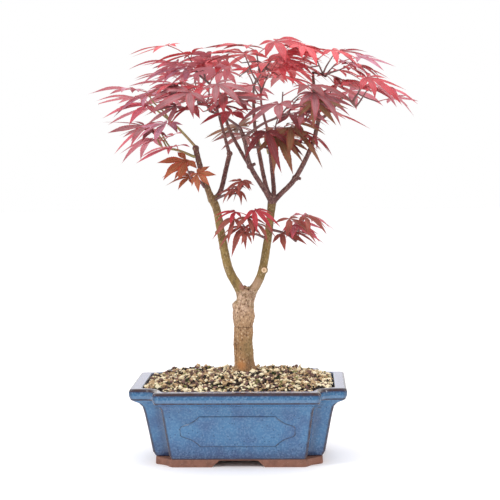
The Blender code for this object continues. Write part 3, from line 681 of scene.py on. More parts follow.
@dataclass
class Pot:
    """The rectangular pot with notched corners, a heavy rim, corner feet and raised panels."""

    finish: GlazeFinish = field(default_factory=GlazeFinish)
    depth_less: float = 0.026
    foot_depth_less: float = 0.003
    rim_height: float = 0.0805
    inside_squareness: float = 0.75
    foot_squareness: float = 0.62
    corner_round: float = 0.0034
    arc_steps: int = 6
    edge_band: float = 0.0009
    profile_step: float = 0.0007
    outer: tuple[Point, ...] = (
        (0.0, 0.0858, 0.0175), (0.0007, 0.0862, 0.0175), (0.008, 0.0857, 0.0175),
        (0.009, 0.0864, 0.0176), (0.013, 0.0886, 0.0182), (0.033, 0.0921, 0.019),
        (0.053, 0.0958, 0.02), (0.061, 0.0978, 0.0208), (0.0652, 0.1016, 0.0226),
        (0.0672, 0.1064, 0.025), (0.069, 0.1092, 0.0262), (0.0728, 0.1108, 0.0266),
        (0.077, 0.111, 0.0266), (0.0796, 0.1101, 0.0266), (0.0803, 0.1088, 0.0266),
        (0.0805, 0.1072, 0.0264))
    inner: tuple[Point, ...] = (
        (0.0805, 0.0996, 0.0236), (0.0801, 0.0986, 0.0231), (0.079, 0.098, 0.023),
        (0.07, 0.096, 0.0225), (0.058, 0.0883, 0.0205))
    lip_half: float = 0.1052
    lip_fade: float = 0.0016
    glaze_foot: float = 0.0078
    foot_gap_height: float = 0.0072
    long_gap: Pair = (0.0275, 0.02)
    short_gap: Pair = (0.0215, 0.016)
    hollow: Point = (0.068, 0.0385, 0.0095)
    panel_wing: Pair = (0.058, 0.0058)
    panel_middle: Pair = (0.04, 0.0164)
    panel_shoulder: Pair = (0.008, 0.0028)
    panel_neck: Pair = (0.004, 0.0053)
    panel_corner: float = 0.002
    panel_height: float = 0.0386
    panel_layers: tuple[Point, ...] = (
        (-0.0006, -0.0015, 0.25), (-0.0002, 0.0001, 1.0), (0.0001, 0.000495, 1.0),
        (0.00042, 0.00081, 0.45), (0.00112, 0.0009, 0.0))
    panel_wall: tuple[Pair, ...] = ((0.013, 0.0886), (0.053, 0.0958))
    edge_lines: tuple[Point, ...] = ((0.0791, 0.0017, 2.0), (0.0696, 0.0013, 1.5), (0.0084, 0.0014, 1.2))
    rounder_from: float = 0.066
    rounder: float = 1.25
    worn_wall: Pair = (0.01, 0.0645)
    worn_rim: float = 0.45
    rim_edge: Pair = (0.0796, 0.0803)
    glaze_angle: float = math.radians(50)
    panel_angle: float = math.radians(60)

    def half_depth(self, half_width: float, z: float) -> float:
        """Half the pot's depth where it is half_width wide, at the height z."""
        return half_width - self.depth_less - self.foot_depth_less * (1.0 - z / self.rim_height)

    def outline(self, z: float, half_width: float, notch: float, squareness: float,
                corner_round: float) -> list[Point]:
        """One ring of the pot, with rounded corners.

        Args:
            z: the ring's height.
            half_width: half its width.
            notch: how deep its corner notches are.
            squareness: how square the notches are, where 0.5 cuts them straight.
            corner_round: radius of its corners.

        Returns:
            For each point x, y and how near a corner edge it is, from 0 to 1.
        """
        half_depth = self.half_depth(half_width, z)
        step = notch * squareness
        hollow = max(corner_round, notch * (squareness - 0.5))
        corners = whole_outline([(half_width, half_depth - notch), (half_width - step, half_depth - step),
                                 (half_width - notch, half_depth)])
        ring = []
        for index, corner in enumerate(corners):
            here = Vector(corner)
            before = (Vector(corners[index - 1]) - here).normalized()
            after = (Vector(corners[(index + 1) % len(corners)]) - here).normalized()
            inner = index % 3 == 1
            curve = hollow if inner else corner_round
            start, end = here + before * curve, here + after * curve
            ring.append((*(start + before * self.edge_band), 0.0))
            for number in range(self.arc_steps + 1):
                t = number / self.arc_steps
                place = start * (1 - t) ** 2 + here * 2 * t * (1 - t) + end * t ** 2
                near = math.sin(math.pi * t)
                ring.append((*place, 0.35 * near if inner else near ** 0.7))
            ring.append((*(end + after * self.edge_band), 0.0))
        return ring

    def profile(self) -> list[tuple[float, float, float, float, float]]:
        """The side profile in fine steps, from the foot over the rim to the floor inside.

        Returns:
            For each ring its height, half width, notch, squareness and how near an edge it is.
        """
        rings = []
        knots = self.outer + self.inner
        for index, (low, high) in enumerate(zip(knots, knots[1:])):
            steps = max(1, round(math.dist(low[:2], high[:2]) / self.profile_step))
            turn = index - len(self.outer) + 1
            for number in range(steps):
                t = number / steps
                z, half, notch = (a + (b - a) * t for a, b in zip(low, high))
                square = 1.0 + (self.inside_squareness - 1.0) * (t if turn == 0 else turn > 0)
                rings.append((z, half, notch, square, self.edge_line(z) if turn <= 0 else 0.0))
        rings.append((*self.inner[-1], self.inside_squareness, 0.0))
        return rings

    def edge_line(self, z: float) -> float:
        """How brown the glaze is at a height along the rim or above the feet, from 0 to 1."""
        return max(min(1.0, share * max(0.0, 1.0 - abs(z - line) / width))
                   for line, width, share in self.edge_lines)

    def shell(self, finishes: Sequence[Material]) -> Piece:
        """Loft the pot's shell.

        Args:
            finishes: the glaze and the clay.

        Returns:
            The object, with each point's share of brown.
        """
        profile = self.profile()
        points, edges = [], []
        for z, half, notch, square, line in profile:
            corner_round = self.corner_round * (1.0 if z < self.rounder_from else self.rounder)
            square = self.foot_squareness if z < self.glaze_foot else square
            edge_brown = 1.0 if self.worn_wall[0] < z < self.worn_wall[1] else self.worn_rim
            edge_brown = edge_brown if z < self.rim_edge[1] else 0.0
            lip = min(1.0, (half - self.lip_half) / self.lip_fade) if z > self.rim_edge[0] else 0.0
            long_side = self.half_depth(half, z) - notch - 0.0005
            for x, y, corner in self.outline(z, half, notch, square, corner_round):
                points.append((x, y, z))
                edges.append(max(line, corner * edge_brown, lip if abs(y) > long_side else 0.0))
        count = len(points) // len(profile)
        bare = sum(z < self.glaze_foot for z, *_ in profile[:len(profile) // 2]) * count
        walls = ring_faces(len(profile), count)
        bottom = [list(range(count))[::-1]]
        inside = [list(range(len(points) - count, len(points)))]
        finish_of = [0] * (len(walls) - bare) + [1] * (bare + 1) + [0]
        parts = MeshParts("pot_shell")
        parts.add(np.array(points), walls[bare:] + walls[:bare] + bottom + inside, finishes=finish_of)
        pot = parts.build(finishes)
        mark_points(pot.data, "edge", edges)
        return pot

    def cutter(self, size: Point, gap: Pair | None) -> Piece:
        """A block that is taken out of the pot's underside.

        Args:
            size: its half width, half depth and height.
            gap: half widths at the ground and at the top, for a gap between feet.

        Returns:
            The block's object.
        """
        bm = bmesh.new()
        bmesh.ops.create_cube(bm, size=2.0)
        half_width, half_depth, height = size
        wider = (2 * gap[0] - gap[1]) / gap[1] if gap else 1.0
        for vert in bm.verts:
            across = 1.0 if vert.co.z > 0 else wider
            wide, deep = (across, 1.0) if half_width < half_depth else (1.0, across)
            z = math.copysign(height, vert.co.z)
            vert.co = (vert.co.x * half_width * wide, vert.co.y * half_depth * deep, z)
        edges = [edge for edge in bm.edges if all(vert.co.z > 0 for vert in edge.verts)]
        bmesh.ops.bevel(bm, geom=edges, offset=0.0012, segments=3, affect="EDGES", profile=0.5)
        mesh = bpy.data.meshes.new("underside")
        bm.to_mesh(mesh)
        bm.free()
        return placed_object("underside", mesh, [])

    def open_feet(self, pot: Piece, clay: Material) -> None:
        """Open the gaps between the feet and hollow the underside.

        Args:
            pot: the lofted shell.
            clay: the material of the cut faces.
        """
        deep = max(half for _, half, _ in self.outer)
        height = self.foot_gap_height
        blocks = [((self.long_gap[1], deep, height), self.long_gap),
                  ((deep, self.short_gap[1], height), self.short_gap), (self.hollow, None)]
        for size, gap in blocks:
            block = self.cutter(size, gap)
            block.data.materials.append(clay)
            cut = pot.modifiers.new("cut", "BOOLEAN")
            cut.operation = "DIFFERENCE"
            cut.solver = "EXACT"
            cut.material_mode = "TRANSFER"
            cut.object = block
            mesh = evaluated_mesh(pot)
            pot.modifiers.clear()
            pot.data = mesh
            bpy.data.objects.remove(block, do_unlink=True)

    def panel_outline(self, inset: float) -> list[Pair]:
        """The raised panel's outline: a tall middle with a lower wing at each end.

        Args:
            inset: how far inside its full size it lies.

        Returns:
            The outline's points.
        """
        wing, wing_half = (size - inset for size in self.panel_wing)
        middle, middle_half = (size - inset for size in self.panel_middle)
        corner = self.panel_corner
        cut = corner * 0.35
        quarter = [(wing, 0.0), (wing, wing_half - corner), (wing - cut, wing_half - cut),
                   (wing - corner, wing_half),
                   (middle + self.panel_shoulder[0], wing_half + self.panel_shoulder[1]),
                   (middle + self.panel_neck[0], wing_half + self.panel_neck[1]),
                   (middle, middle_half - corner), (middle - cut, middle_half - cut),
                   (middle - corner, middle_half)]
        upper = quarter + [(-x, y) for x, y in reversed(quarter)]
        return upper + [(x, -y) for x, y in reversed(upper[1:-1])]

    def panel(self, parts: MeshParts, side: float, edges: list[float]) -> None:
        """Lay one raised panel on the sloping wall.

        Args:
            parts: the mesh that it joins.
            side: -1 at the front and 1 at the back.
            edges: takes the share of brown of each new point.
        """
        (low_z, low_y), (high_z, high_y) = ((z, self.half_depth(half, z)) for z, half in self.panel_wall)
        lean = math.atan2(high_y - low_y, high_z - low_z)
        wall_y = low_y + (high_y - low_y) * (self.panel_height - low_z) / (high_z - low_z)
        turn = Matrix.Rotation(math.radians(90) + lean, 4, "X")
        place = Matrix.Translation((0.0, -wall_y, self.panel_height)) @ turn
        if side > 0:
            place = Matrix.Rotation(math.pi, 4, "Z") @ place
        points = []
        for inset, proud, edge in self.panel_layers:
            for x, y in self.panel_outline(inset):
                points.append(tuple(place @ Vector((x, y, proud))))
                # The brown is the glaze breaking over the panel's edges; on the lower half it is stronger,
                # partly a painted shadow under the raised panel.
                edges.append(edge * (1.0 if y < 0 else 0.6))
        count = len(points) // len(self.panel_layers)
        faces = ring_faces(len(self.panel_layers), count)
        parts.add(np.array(points), faces + [list(range(len(points) - count, len(points)))])

    def build(self) -> None:
        """Make the pot and its panels."""
        glaze, clay = self.finish.glaze(), self.finish.bare_clay()
        pot = self.shell([glaze, clay])
        self.open_feet(pot, clay)
        pot.data.set_sharp_from_angle(angle=self.glaze_angle)
        dress(pot, "glaze", ["pot"])
        parts, edges = MeshParts("raised_panels"), []
        for side in (-1, 1):
            self.panel(parts, side, edges)
        panels = parts.build([glaze])
        mark_points(panels.data, "edge", edges)
        panels.data.set_sharp_from_angle(angle=self.panel_angle)
        dress(panels, "glaze")


# Soil

class Grit(Enum):
    """Kinds of soil grain: two tones, share of all grains, and smallest and largest size."""

    CREAM = ((0.97, 0.87, 0.62), (0.76, 0.61, 0.37), 0.32, 0.0032, 0.0078)
    TAN = ((0.56, 0.39, 0.22), (0.36, 0.23, 0.12), 0.25, 0.003, 0.0072)
    MAUVE = ((0.22, 0.12, 0.1), (0.12, 0.07, 0.055), 0.22, 0.003, 0.0068)
    DARK = ((0.045, 0.029, 0.022), (0.016, 0.012, 0.009), 0.17, 0.0028, 0.0062)
    GREEN = ((0.27, 0.27, 0.09), (0.17, 0.18, 0.06), 0.06, 0.0026, 0.0056)

    def finish(self) -> Material:
        """Make the material of this kind of grain.

        Returns:
            The material.
        """
        light, dark = self.value[:2]
        shader = Shader(self.name.lower() + "_grit", 0.93)
        cloud = shader.effect("mottle", Low_Tone=dark, High_Tone=light, Scale=210.0, Detail=5.0,
                              Sharpness=0.25, Balance=0.44)["Color"]
        pores = shader.effect("fleck", Color=cloud, Fleck_Color=tuple(part * 0.35 for part in dark),
                              Scale=1300.0, Size=0.38, Amount=0.3)["Color"]
        shader.set(Base_Color=pores)
        shader.roughen(0.00045, Scale=700.0, Grain_Scale=2600.0, Grain_Share=0.5)
        return shader.material


@dataclass
class SoilBed:
    """The mound of gritty soil: a dark bed with loose grains and a little moss on it."""

    seed: int = 5
    grains: int = 4700
    edge_half: Point = (0.0958, 0.0696, 0.0225)
    edge_z: float = 0.0793
    trunk_foot: Point = (0.005, 0.0, 0.091)
    flat: Point = (0.023, 0.02, 0.012)
    bottom_z: float = 0.06
    bed_sunk: float = 0.002
    grit_height: float = 0.004
    grit_spacing: float = 0.0105
    grit_fade: float = 0.24
    rings: int = 16
    side_steps: int = 8
    bed_inset: float = 0.0004
    cell: float = 0.008
    small_from: float = 0.4
    small_size: float = 0.0038
    wall_from: float = 0.8
    wall_band: Pair = (0.93, 0.995)
    wall_room: float = 0.12
    size_bias: float = 1.6
    grain_spacing: float = 0.29
    grain_lift: Pair = (-0.0006, 0.0008)
    tufts: int = 170
    tuft_reach: float = 0.0045
    moss_dome: float = 0.002
    moss_lift: float = 0.0016
    blade_root: float = 0.002
    blade_height: float = 0.0017
    blade_lean: float = 0.0009
    blade_radii: Point = (0.00042, 0.00046, 0.00012)
    moss_patches: tuple[Point, ...] = ((0.03, -0.016, 0.003), (0.036, -0.022, 0.0026),
                                       (0.041, -0.034, 0.0024), (-0.052, -0.044, 0.0024))

    def outline(self, share: float, inset: float) -> list[Pair]:
        """The bed's outline, from the pot's wall to the flat round the trunk.

        Args:
            share: 0 at the wall, 1 at the flat.
            inset: how far inside the wall it lies.

        Returns:
            The outline's points.
        """
        half_x, half_y, notch = (a + (b - a) * share for a, b in zip(self.edge_half, self.flat))
        half_x, half_y = half_x - inset, half_y - inset
        shift = self.trunk_foot[0] * share
        corners = whole_outline([(half_x, half_y - notch), (half_x - notch * 0.75, half_y - notch * 0.75),
                                 (half_x - notch, half_y)])
        points = []
        for here, after in zip(corners, corners[1:] + corners[:1]):
            for number in range(self.side_steps):
                x, y = (a + (b - a) * number / self.side_steps for a, b in zip(here, after))
                points.append((x + shift, y))
        return points

    def bed(self, material: Material) -> Piece:
        """The dark bed under the grains, filling the pot's mouth.

        Args:
            material: its finish.

        Returns:
            The bed's object.
        """
        points = [(x, y, self.bottom_z) for x, y in self.outline(0.0, self.bed_inset)]
        count = len(points)
        for number in range(self.rings + 1):
            share = number / self.rings
            points += [(x, y, self.surface(x, y, share)) for x, y in self.outline(share, self.bed_inset)]
        top = list(range(len(points) - count, len(points)))
        faces = ring_faces(len(points) // count, count) + [top, list(range(count))[::-1]]
        parts = MeshParts("soil_bed")
        parts.add(np.array(points), faces)
        return parts.build([material])

    def inside(self, x: float, y: float, room: float) -> bool:
        """Whether a grain with this much room round it stays inside the pot's wall."""
        half_x, half_y, notch = self.edge_half
        across, along = abs(x) + room, abs(y) + room
        if across > half_x or along > half_y:
            return False
        over_x, over_y = max(0.0, across - half_x + notch), max(0.0, along - half_y + notch)
        return min(over_x * 3 + over_y, over_y * 3 + over_x) <= notch or not (over_x and over_y)

    def height(self, x: float, y: float) -> float:
        """Height of the mound's surface.

        Args:
            x: place across.
            y: place along the depth.

        Returns:
            The height.
        """
        low, high = 0.0, 1.0
        for _ in range(12):
            share = (low + high) / 2
            half_x, half_y = (a + (b - a) * share for a, b in zip(self.edge_half[:2], self.flat[:2]))
            fits = max(abs(x - self.trunk_foot[0] * share) / half_x, abs(y) / half_y) <= 1.0
            low, high = (share, high) if fits else (low, share)
        return self.surface(x, y, low)

    def surface(self, x: float, y: float, share: float) -> float:
        """Height of the bed, with the coarse lumps of the solid's surface.

        Args:
            x: place across.
            y: place along the depth.
            share: 0 at the wall, 1 at the flat.

        Returns:
            The height.
        """
        fade = clamp(min(share, 1.0 - share) / self.grit_fade)
        lumps = fade * self.grit_height * noise.noise(Vector((x, y, 0.0)) / self.grit_spacing)
        rise = 0.25 * math.sin(share * math.pi / 2) + 0.75 * share
        return self.edge_z + (self.trunk_foot[2] - self.edge_z) * rise + lumps - self.bed_sunk

    @staticmethod
    def chip(rng: random.Random, size: float) -> tuple[np.ndarray, Faces]:
        """One angular grain.

        Args:
            rng: the seeded draws.
            size: its longest side.

        Returns:
            Its points round its own middle, and its faces.
        """
        golden = (1 + math.sqrt(5)) / 2
        first = [(across, side * golden, 0) for side in (1, -1) for across in (-1, 1)]
        second = [(z, x, y) for x, y, z in first]
        corners = first + second + [(z, x, y) for x, y, z in second]
        faces = [(0, 11, 5), (0, 5, 1), (0, 1, 7), (0, 7, 10), (0, 10, 11), (1, 5, 9), (5, 11, 4),
                 (11, 10, 2), (10, 7, 6), (7, 1, 8), (3, 9, 4), (3, 4, 2), (3, 2, 6), (3, 6, 8), (3, 8, 9),
                 (4, 9, 5), (2, 4, 11), (6, 2, 10), (8, 6, 7), (9, 8, 1)]
        points = np.array(corners, dtype=float) / 1.9
        points *= np.array([[rng.uniform(0.62, 1.25)] for _ in corners])
        points += np.array([[rng.uniform(-0.26, 0.26) for _ in range(3)] for _ in corners])
        points *= np.array([0.52, rng.uniform(0.28, 0.44), rng.uniform(0.2, 0.34)]) * size
        turn = Matrix.Rotation(rng.uniform(0, math.tau), 3, "Z")
        turn @= Matrix.Rotation(rng.gauss(0, 0.5), 3, "X") @ Matrix.Rotation(rng.gauss(0, 0.5), 3, "Y")
        return points @ np.array(turn).T, faces

    def scatter(self) -> dict[Grit, MeshParts]:
        """Lay the grains over the mound, large ones on top of small ones.

        Returns:
            One mesh for each kind of grain.
        """
        rng = random.Random(self.seed)
        half_x, half_y, _ = self.edge_half
        heaps = {kind: MeshParts(kind.name.lower() + "_grains") for kind in Grit}
        laid: dict[tuple[int, int], list[Point]] = {}
        made, tries = 0, 0
        while made < self.grains and tries < self.grains * 30:
            tries += 1
            kind = rng.choices(list(Grit), [kind.value[2] for kind in Grit])[0]
            smallest, largest = kind.value[3:]
            size = smallest + (largest - smallest) * rng.random() ** self.size_bias
            if made > self.grains * self.small_from:
                size = min(size, self.small_size)
            x, y = rng.uniform(-half_x, half_x), rng.uniform(-half_y, half_y)
            if made > self.grains * self.wall_from:
                near_wall = rng.uniform(*self.wall_band) / max(abs(x) / half_x, abs(y) / half_y)
                x, y = x * near_wall, y * near_wall
            if not self.inside(x, y, size * self.wall_room):
                continue
            column, row = round(x / self.cell), round(y / self.cell)
            near = [other for i in (-1, 0, 1) for j in (-1, 0, 1)
                    for other in laid.get((column + i, row + j), [])]
            if any(math.hypot(x - other_x, y - other_y) < (size + other) * self.grain_spacing
                   for other_x, other_y, other in near):
                continue
            laid.setdefault((column, row), []).append((x, y, size))
            points, faces = self.chip(rng, size)
            lift = self.bed_sunk * 0.35 + size * 0.2 + rng.uniform(*self.grain_lift)
            heaps[kind].add(points + np.array([x, y, self.height(x, y) + lift]), faces)
            made += 1
        log.info("soil: %d grains in %d tries", made, tries)
        return heaps

    def moss(self) -> MeshParts:
        """Small cushions of moss beside the trunk, as tufts of tiny blades.

        Returns:
            Their mesh.
        """
        rng = random.Random(self.seed + 1)
        parts = MeshParts("moss")
        for centre_x, centre_y, reach in self.moss_patches:
            for _ in range(int(self.tufts * (reach / self.tuft_reach) ** 2)):
                angle, away = rng.uniform(0, math.tau), reach * math.sqrt(rng.random())
                x, y = centre_x + math.cos(angle) * away, centre_y + math.sin(angle) * away * 0.8
                dome = self.moss_dome * (1 - (away / reach) ** 2)
                foot = Vector((x, y, self.height(x, y) + self.moss_lift + dome))
                lean = [rng.uniform(-1, 1) * self.blade_lean for _ in range(2)]
                places = (foot - Vector((0, 0, self.blade_root)), foot,
                          foot + Vector((*lean, self.blade_height)))
                parts.add(*ring_tube(list(zip(places, self.blade_radii)), 4, closed=False))
        return parts

    def build(self) -> None:
        """Make the bed, its grains and the moss."""
        dress(self.bed(Grit.DARK.finish()), "soil", ["soil"])
        for kind, heap in self.scatter().items():
            dress(heap.build([kind.finish()], smooth=False), "soil")
        shader = Shader("moss_green", 0.9)
        green = shader.effect("mottle", Low_Tone=(0.02, 0.028, 0.01), High_Tone=(0.07, 0.085, 0.025),
                              Scale=500.0, Sharpness=0.3)["Color"]
        shader.set(Base_Color=green)
        dress(self.moss().build([shader.material]), "soil")


# Trunk and boughs

class Bark(Enum):
    """Finishes of the wood, from the trunk out to the twigs."""

    TRUNK = "trunk"
    BOUGH = "bough"
    TWIG = "twig"


@dataclass(frozen=True)
class Limb:
    """A bough: its bark, and the places and radii of its line in millimetres."""

    name: str
    bark: Bark
    knots: tuple[tuple[float, ...], ...]

    @property
    def line(self) -> list[tuple[Point, float]]:
        """Its line of places and radii in metres."""
        return [(in_metres(*place), radius / 1000) for *place, radius in self.knots]


LIMBS = (
    Limb("trunk", Bark.TRUNK, ((5, 0, 88.5, 13.2), (5, 0, 91, 12.6), (5, 0, 94.5, 11.4),
        (4.5, 0, 103, 10.3), (3.9, 0, 122, 9.3), (4.2, 0, 140, 10.4), (4.6, 0, 152, 11.3),
        (6, 0, 162, 9), (7, 0, 168, 8.2), (7.6, 0, 173.5, 7.8))),
    Limb("left_bough", Bark.BOUGH, ((5, -1, 166, 5.6), (0.5, -2, 177, 5.1), (-10.4, -3, 198, 4.6),
        (-17.2, -5, 232, 4.3), (-21.7, -7, 259, 4.1), (-26.8, -8, 272, 4.3))),
    Limb("left_bough_upper", Bark.BOUGH, ((-26.2, -8, 269, 3.4), (-34.4, -10, 291, 3.2),
        (-40.2, -13, 313, 2.9), (-42.5, -14, 324, 3.1))),
    Limb("left_inner_bough", Bark.TWIG, ((-25.5, -7, 269, 2.7), (-17.9, 2, 280, 2.6),
        (-12.8, 12, 302, 2.5), (-9.2, 22, 318, 2.6))),
    Limb("left_inner_twig", Bark.TWIG, ((-9.2, 21, 316.5, 1.9), (-14, 28, 333, 1.7),
        (-20.5, 34, 358, 1.6))),
    Limb("right_bough", Bark.BOUGH, ((9, 0, 164, 5.2), (15, 0, 175.5, 4.8), (23.5, 0, 192, 4.5),
        (29.5, 0, 222, 4.2), (33.7, 0, 253, 4.1), (35.9, 0, 272, 4.8))),
    Limb("right_outer_bough", Bark.TWIG, ((36.8, 0, 268.5, 3), (44, -1, 275, 2.7), (60, -3, 292, 2.7),
        (76.9, -6, 324.5, 2.4), (83.2, -9, 347, 2.3), (84.6, -10, 354.5, 2.8))),
    Limb("right_front_bough", Bark.TWIG, ((35, -1, 268, 2.9), (28, -9, 280, 2.7), (14, -20, 305, 2.5),
        (9.5, -30, 327, 2), (5, -38, 343, 1.9))),
    Limb("crossing_bough", Bark.TWIG, ((14, -20, 304.5, 2), (8, -12, 313, 1.9), (-6, 2, 338, 1.8),
        (-13, 10, 356, 1.7), (-17, 12, 378, 1.6))),
    Limb("centre_bough", Bark.TWIG, ((35.2, 1, 269, 2.6), (29, 6, 284, 2.4), (22.5, 18, 315, 2.2),
        (17.5, 26, 345, 1.9), (16, 32, 370, 1.8))),
    Limb("back_bough", Bark.TWIG, ((36.2, 2, 268, 2.7), (37, 14, 280, 2.5), (34, 42, 308, 2.2),
        (29, 68, 345, 1.9))),
    Limb("right_rising_twig", Bark.TWIG, ((84.6, -10, 353, 1.9), (82.8, -5, 368, 1.8),
        (79.8, 2, 388, 1.6), (79, 5, 399, 1.5))),
    Limb("right_reaching_twig", Bark.TWIG, ((85, -11, 352.5, 1.7), (93, -16, 357, 1.6),
        (109, -26, 374, 1.4))),
)


@dataclass(frozen=True)
class BarkFinish:
    """Colours of one bark, how coarse its marks are, and round spots of other colours on it."""

    name: str
    light: Colour
    dark: Colour
    patch: Colour
    fleck: Colour
    pale: Colour
    deep: Colour
    later: Colour
    later_low: float
    later_high: float
    scale: float
    roughness: float
    depth: float
    spots: tuple[tuple[Point, float, float, Colour, float], ...] = ()
    tissue: tuple[Colour, Colour] = ((0.33, 0.205, 0.125), (0.59, 0.41, 0.295))

    def material(self) -> Material:
        """Make the bark, which turns into the next bark's colour with height.

        Returns:
            The material.
        """
        shader = Shader(self.name, self.roughness, Specular_IOR_Level=0.25)
        colour = shader.effect("mottle", Low_Tone=self.dark, High_Tone=self.light, Scale=self.scale,
                               Detail=6.0, Sharpness=0.35, Balance=0.48, Stretch=(1.0, 1.0, 0.35))["Color"]
        patches = shader.effect("mottle", Scale=self.scale * 0.45, Sharpness=0.6, Balance=0.57,
                                Stretch=(1.0, 1.0, 0.6))["Mask"]
        colour = shader.mix(patches, colour, self.patch, 0.35)
        climb = shader.effect("climb", Low=self.later_low, High=self.later_high, Waver=0.03,
                              Scale=60.0)["Mask"]
        colour = shader.mix(climb, colour, self.later)
        tissue = shader.effect("mottle", Low_Tone=self.tissue[0], High_Tone=self.tissue[1], Scale=330.0,
                               Detail=6.0)["Color"]
        colour = shader.mix(shader.marked("union"), colour, tissue)
        for tone, amount, scale in ((self.pale, 0.46, 3.6), (self.fleck, 0.5, 2.9)):
            colour = shader.effect("fleck", Color=colour, Fleck_Color=tone, Scale=self.scale * scale,
                                   Size=0.62, Amount=amount, Stretch=(1.0, 1.0, 0.6))["Color"]
        # Darken towards the deep colour by the share noted on the skin: painted shade in the hollows of the
        # relief, with darkening along the graft's seam, crumbs and saddle.
        colour = shader.mix(shader.marked("furrow"), colour, self.deep)
        for place, radius, softness, tone, strength in self.spots:
            spot = shader.effect("spot", Centre=tuple(PLANT_PLACE @ Vector(place)), Radius=radius,
                                 Softness=softness, Raggedness=softness)["Mask"]
            colour = shader.mix(spot, colour, tone, strength)
        shader.set(Base_Color=colour)
        shader.roughen(self.depth, Scale=self.scale * 2.2, Grain_Scale=self.scale * 7, Grain_Share=0.4,
                       Stretch=(1.0, 1.0, 0.4))
        return shader.material


PURPLE_BARK = (0.135, 0.058, 0.058)
BARKS = {
    Bark.TRUNK: BarkFinish(
        "trunk_bark", (0.4, 0.23, 0.11), (0.25, 0.135, 0.062), (0.43, 0.275, 0.165),
        (0.11, 0.052, 0.026), (0.66, 0.48, 0.31), (0.095, 0.048, 0.026), (0.44, 0.28, 0.165),
        0.126, 0.146, 160.0, 0.85, 0.00045, (
            ((0.002, -0.011, 0.0975), 0.0015, 0.006, (0.52, 0.215, 0.07), 0.65),
            ((0.012, -0.007, 0.0985), 0.003, 0.008, (0.18, 0.1, 0.055), 0.45),
            ((0.0135, -0.006, 0.115), 0.005, 0.012, (0.27, 0.2, 0.085), 0.45))),
    Bark.BOUGH: BarkFinish(
        "bough_bark", (0.27, 0.182, 0.06), (0.17, 0.11, 0.038), (0.33, 0.205, 0.11),
        (0.12, 0.075, 0.03), (0.42, 0.32, 0.18), (0.09, 0.055, 0.025), PURPLE_BARK, 0.245, 0.32,
        190.0, 0.62, 0.00026, (
            ((0.0265, -0.0056, 0.1965), 0.0032, 0.0005, (0.15, 0.075, 0.035), 0.85),
            ((0.0265, -0.0056, 0.1965), 0.0026, 0.0004, (0.76, 0.57, 0.37), 0.95),
            ((0.0265, -0.0056, 0.1965), 0.001, 0.0007, (0.42, 0.24, 0.12), 0.8),
            ((0.0185, -0.005, 0.183), 0.003, 0.006, (0.42, 0.27, 0.19), 0.6),
            ((0.003, -0.004, 0.179), 0.0022, 0.003, (0.37, 0.16, 0.125), 0.7))),
    Bark.TWIG: BarkFinish(
        "twig_bark", (0.175, 0.08, 0.074), (0.095, 0.04, 0.038), (0.24, 0.13, 0.105),
        (0.06, 0.028, 0.024), (0.38, 0.26, 0.205), (0.045, 0.02, 0.018), (0.19, 0.082, 0.07), 0.33, 0.4,
        230.0, 0.52, 0.00018),
}


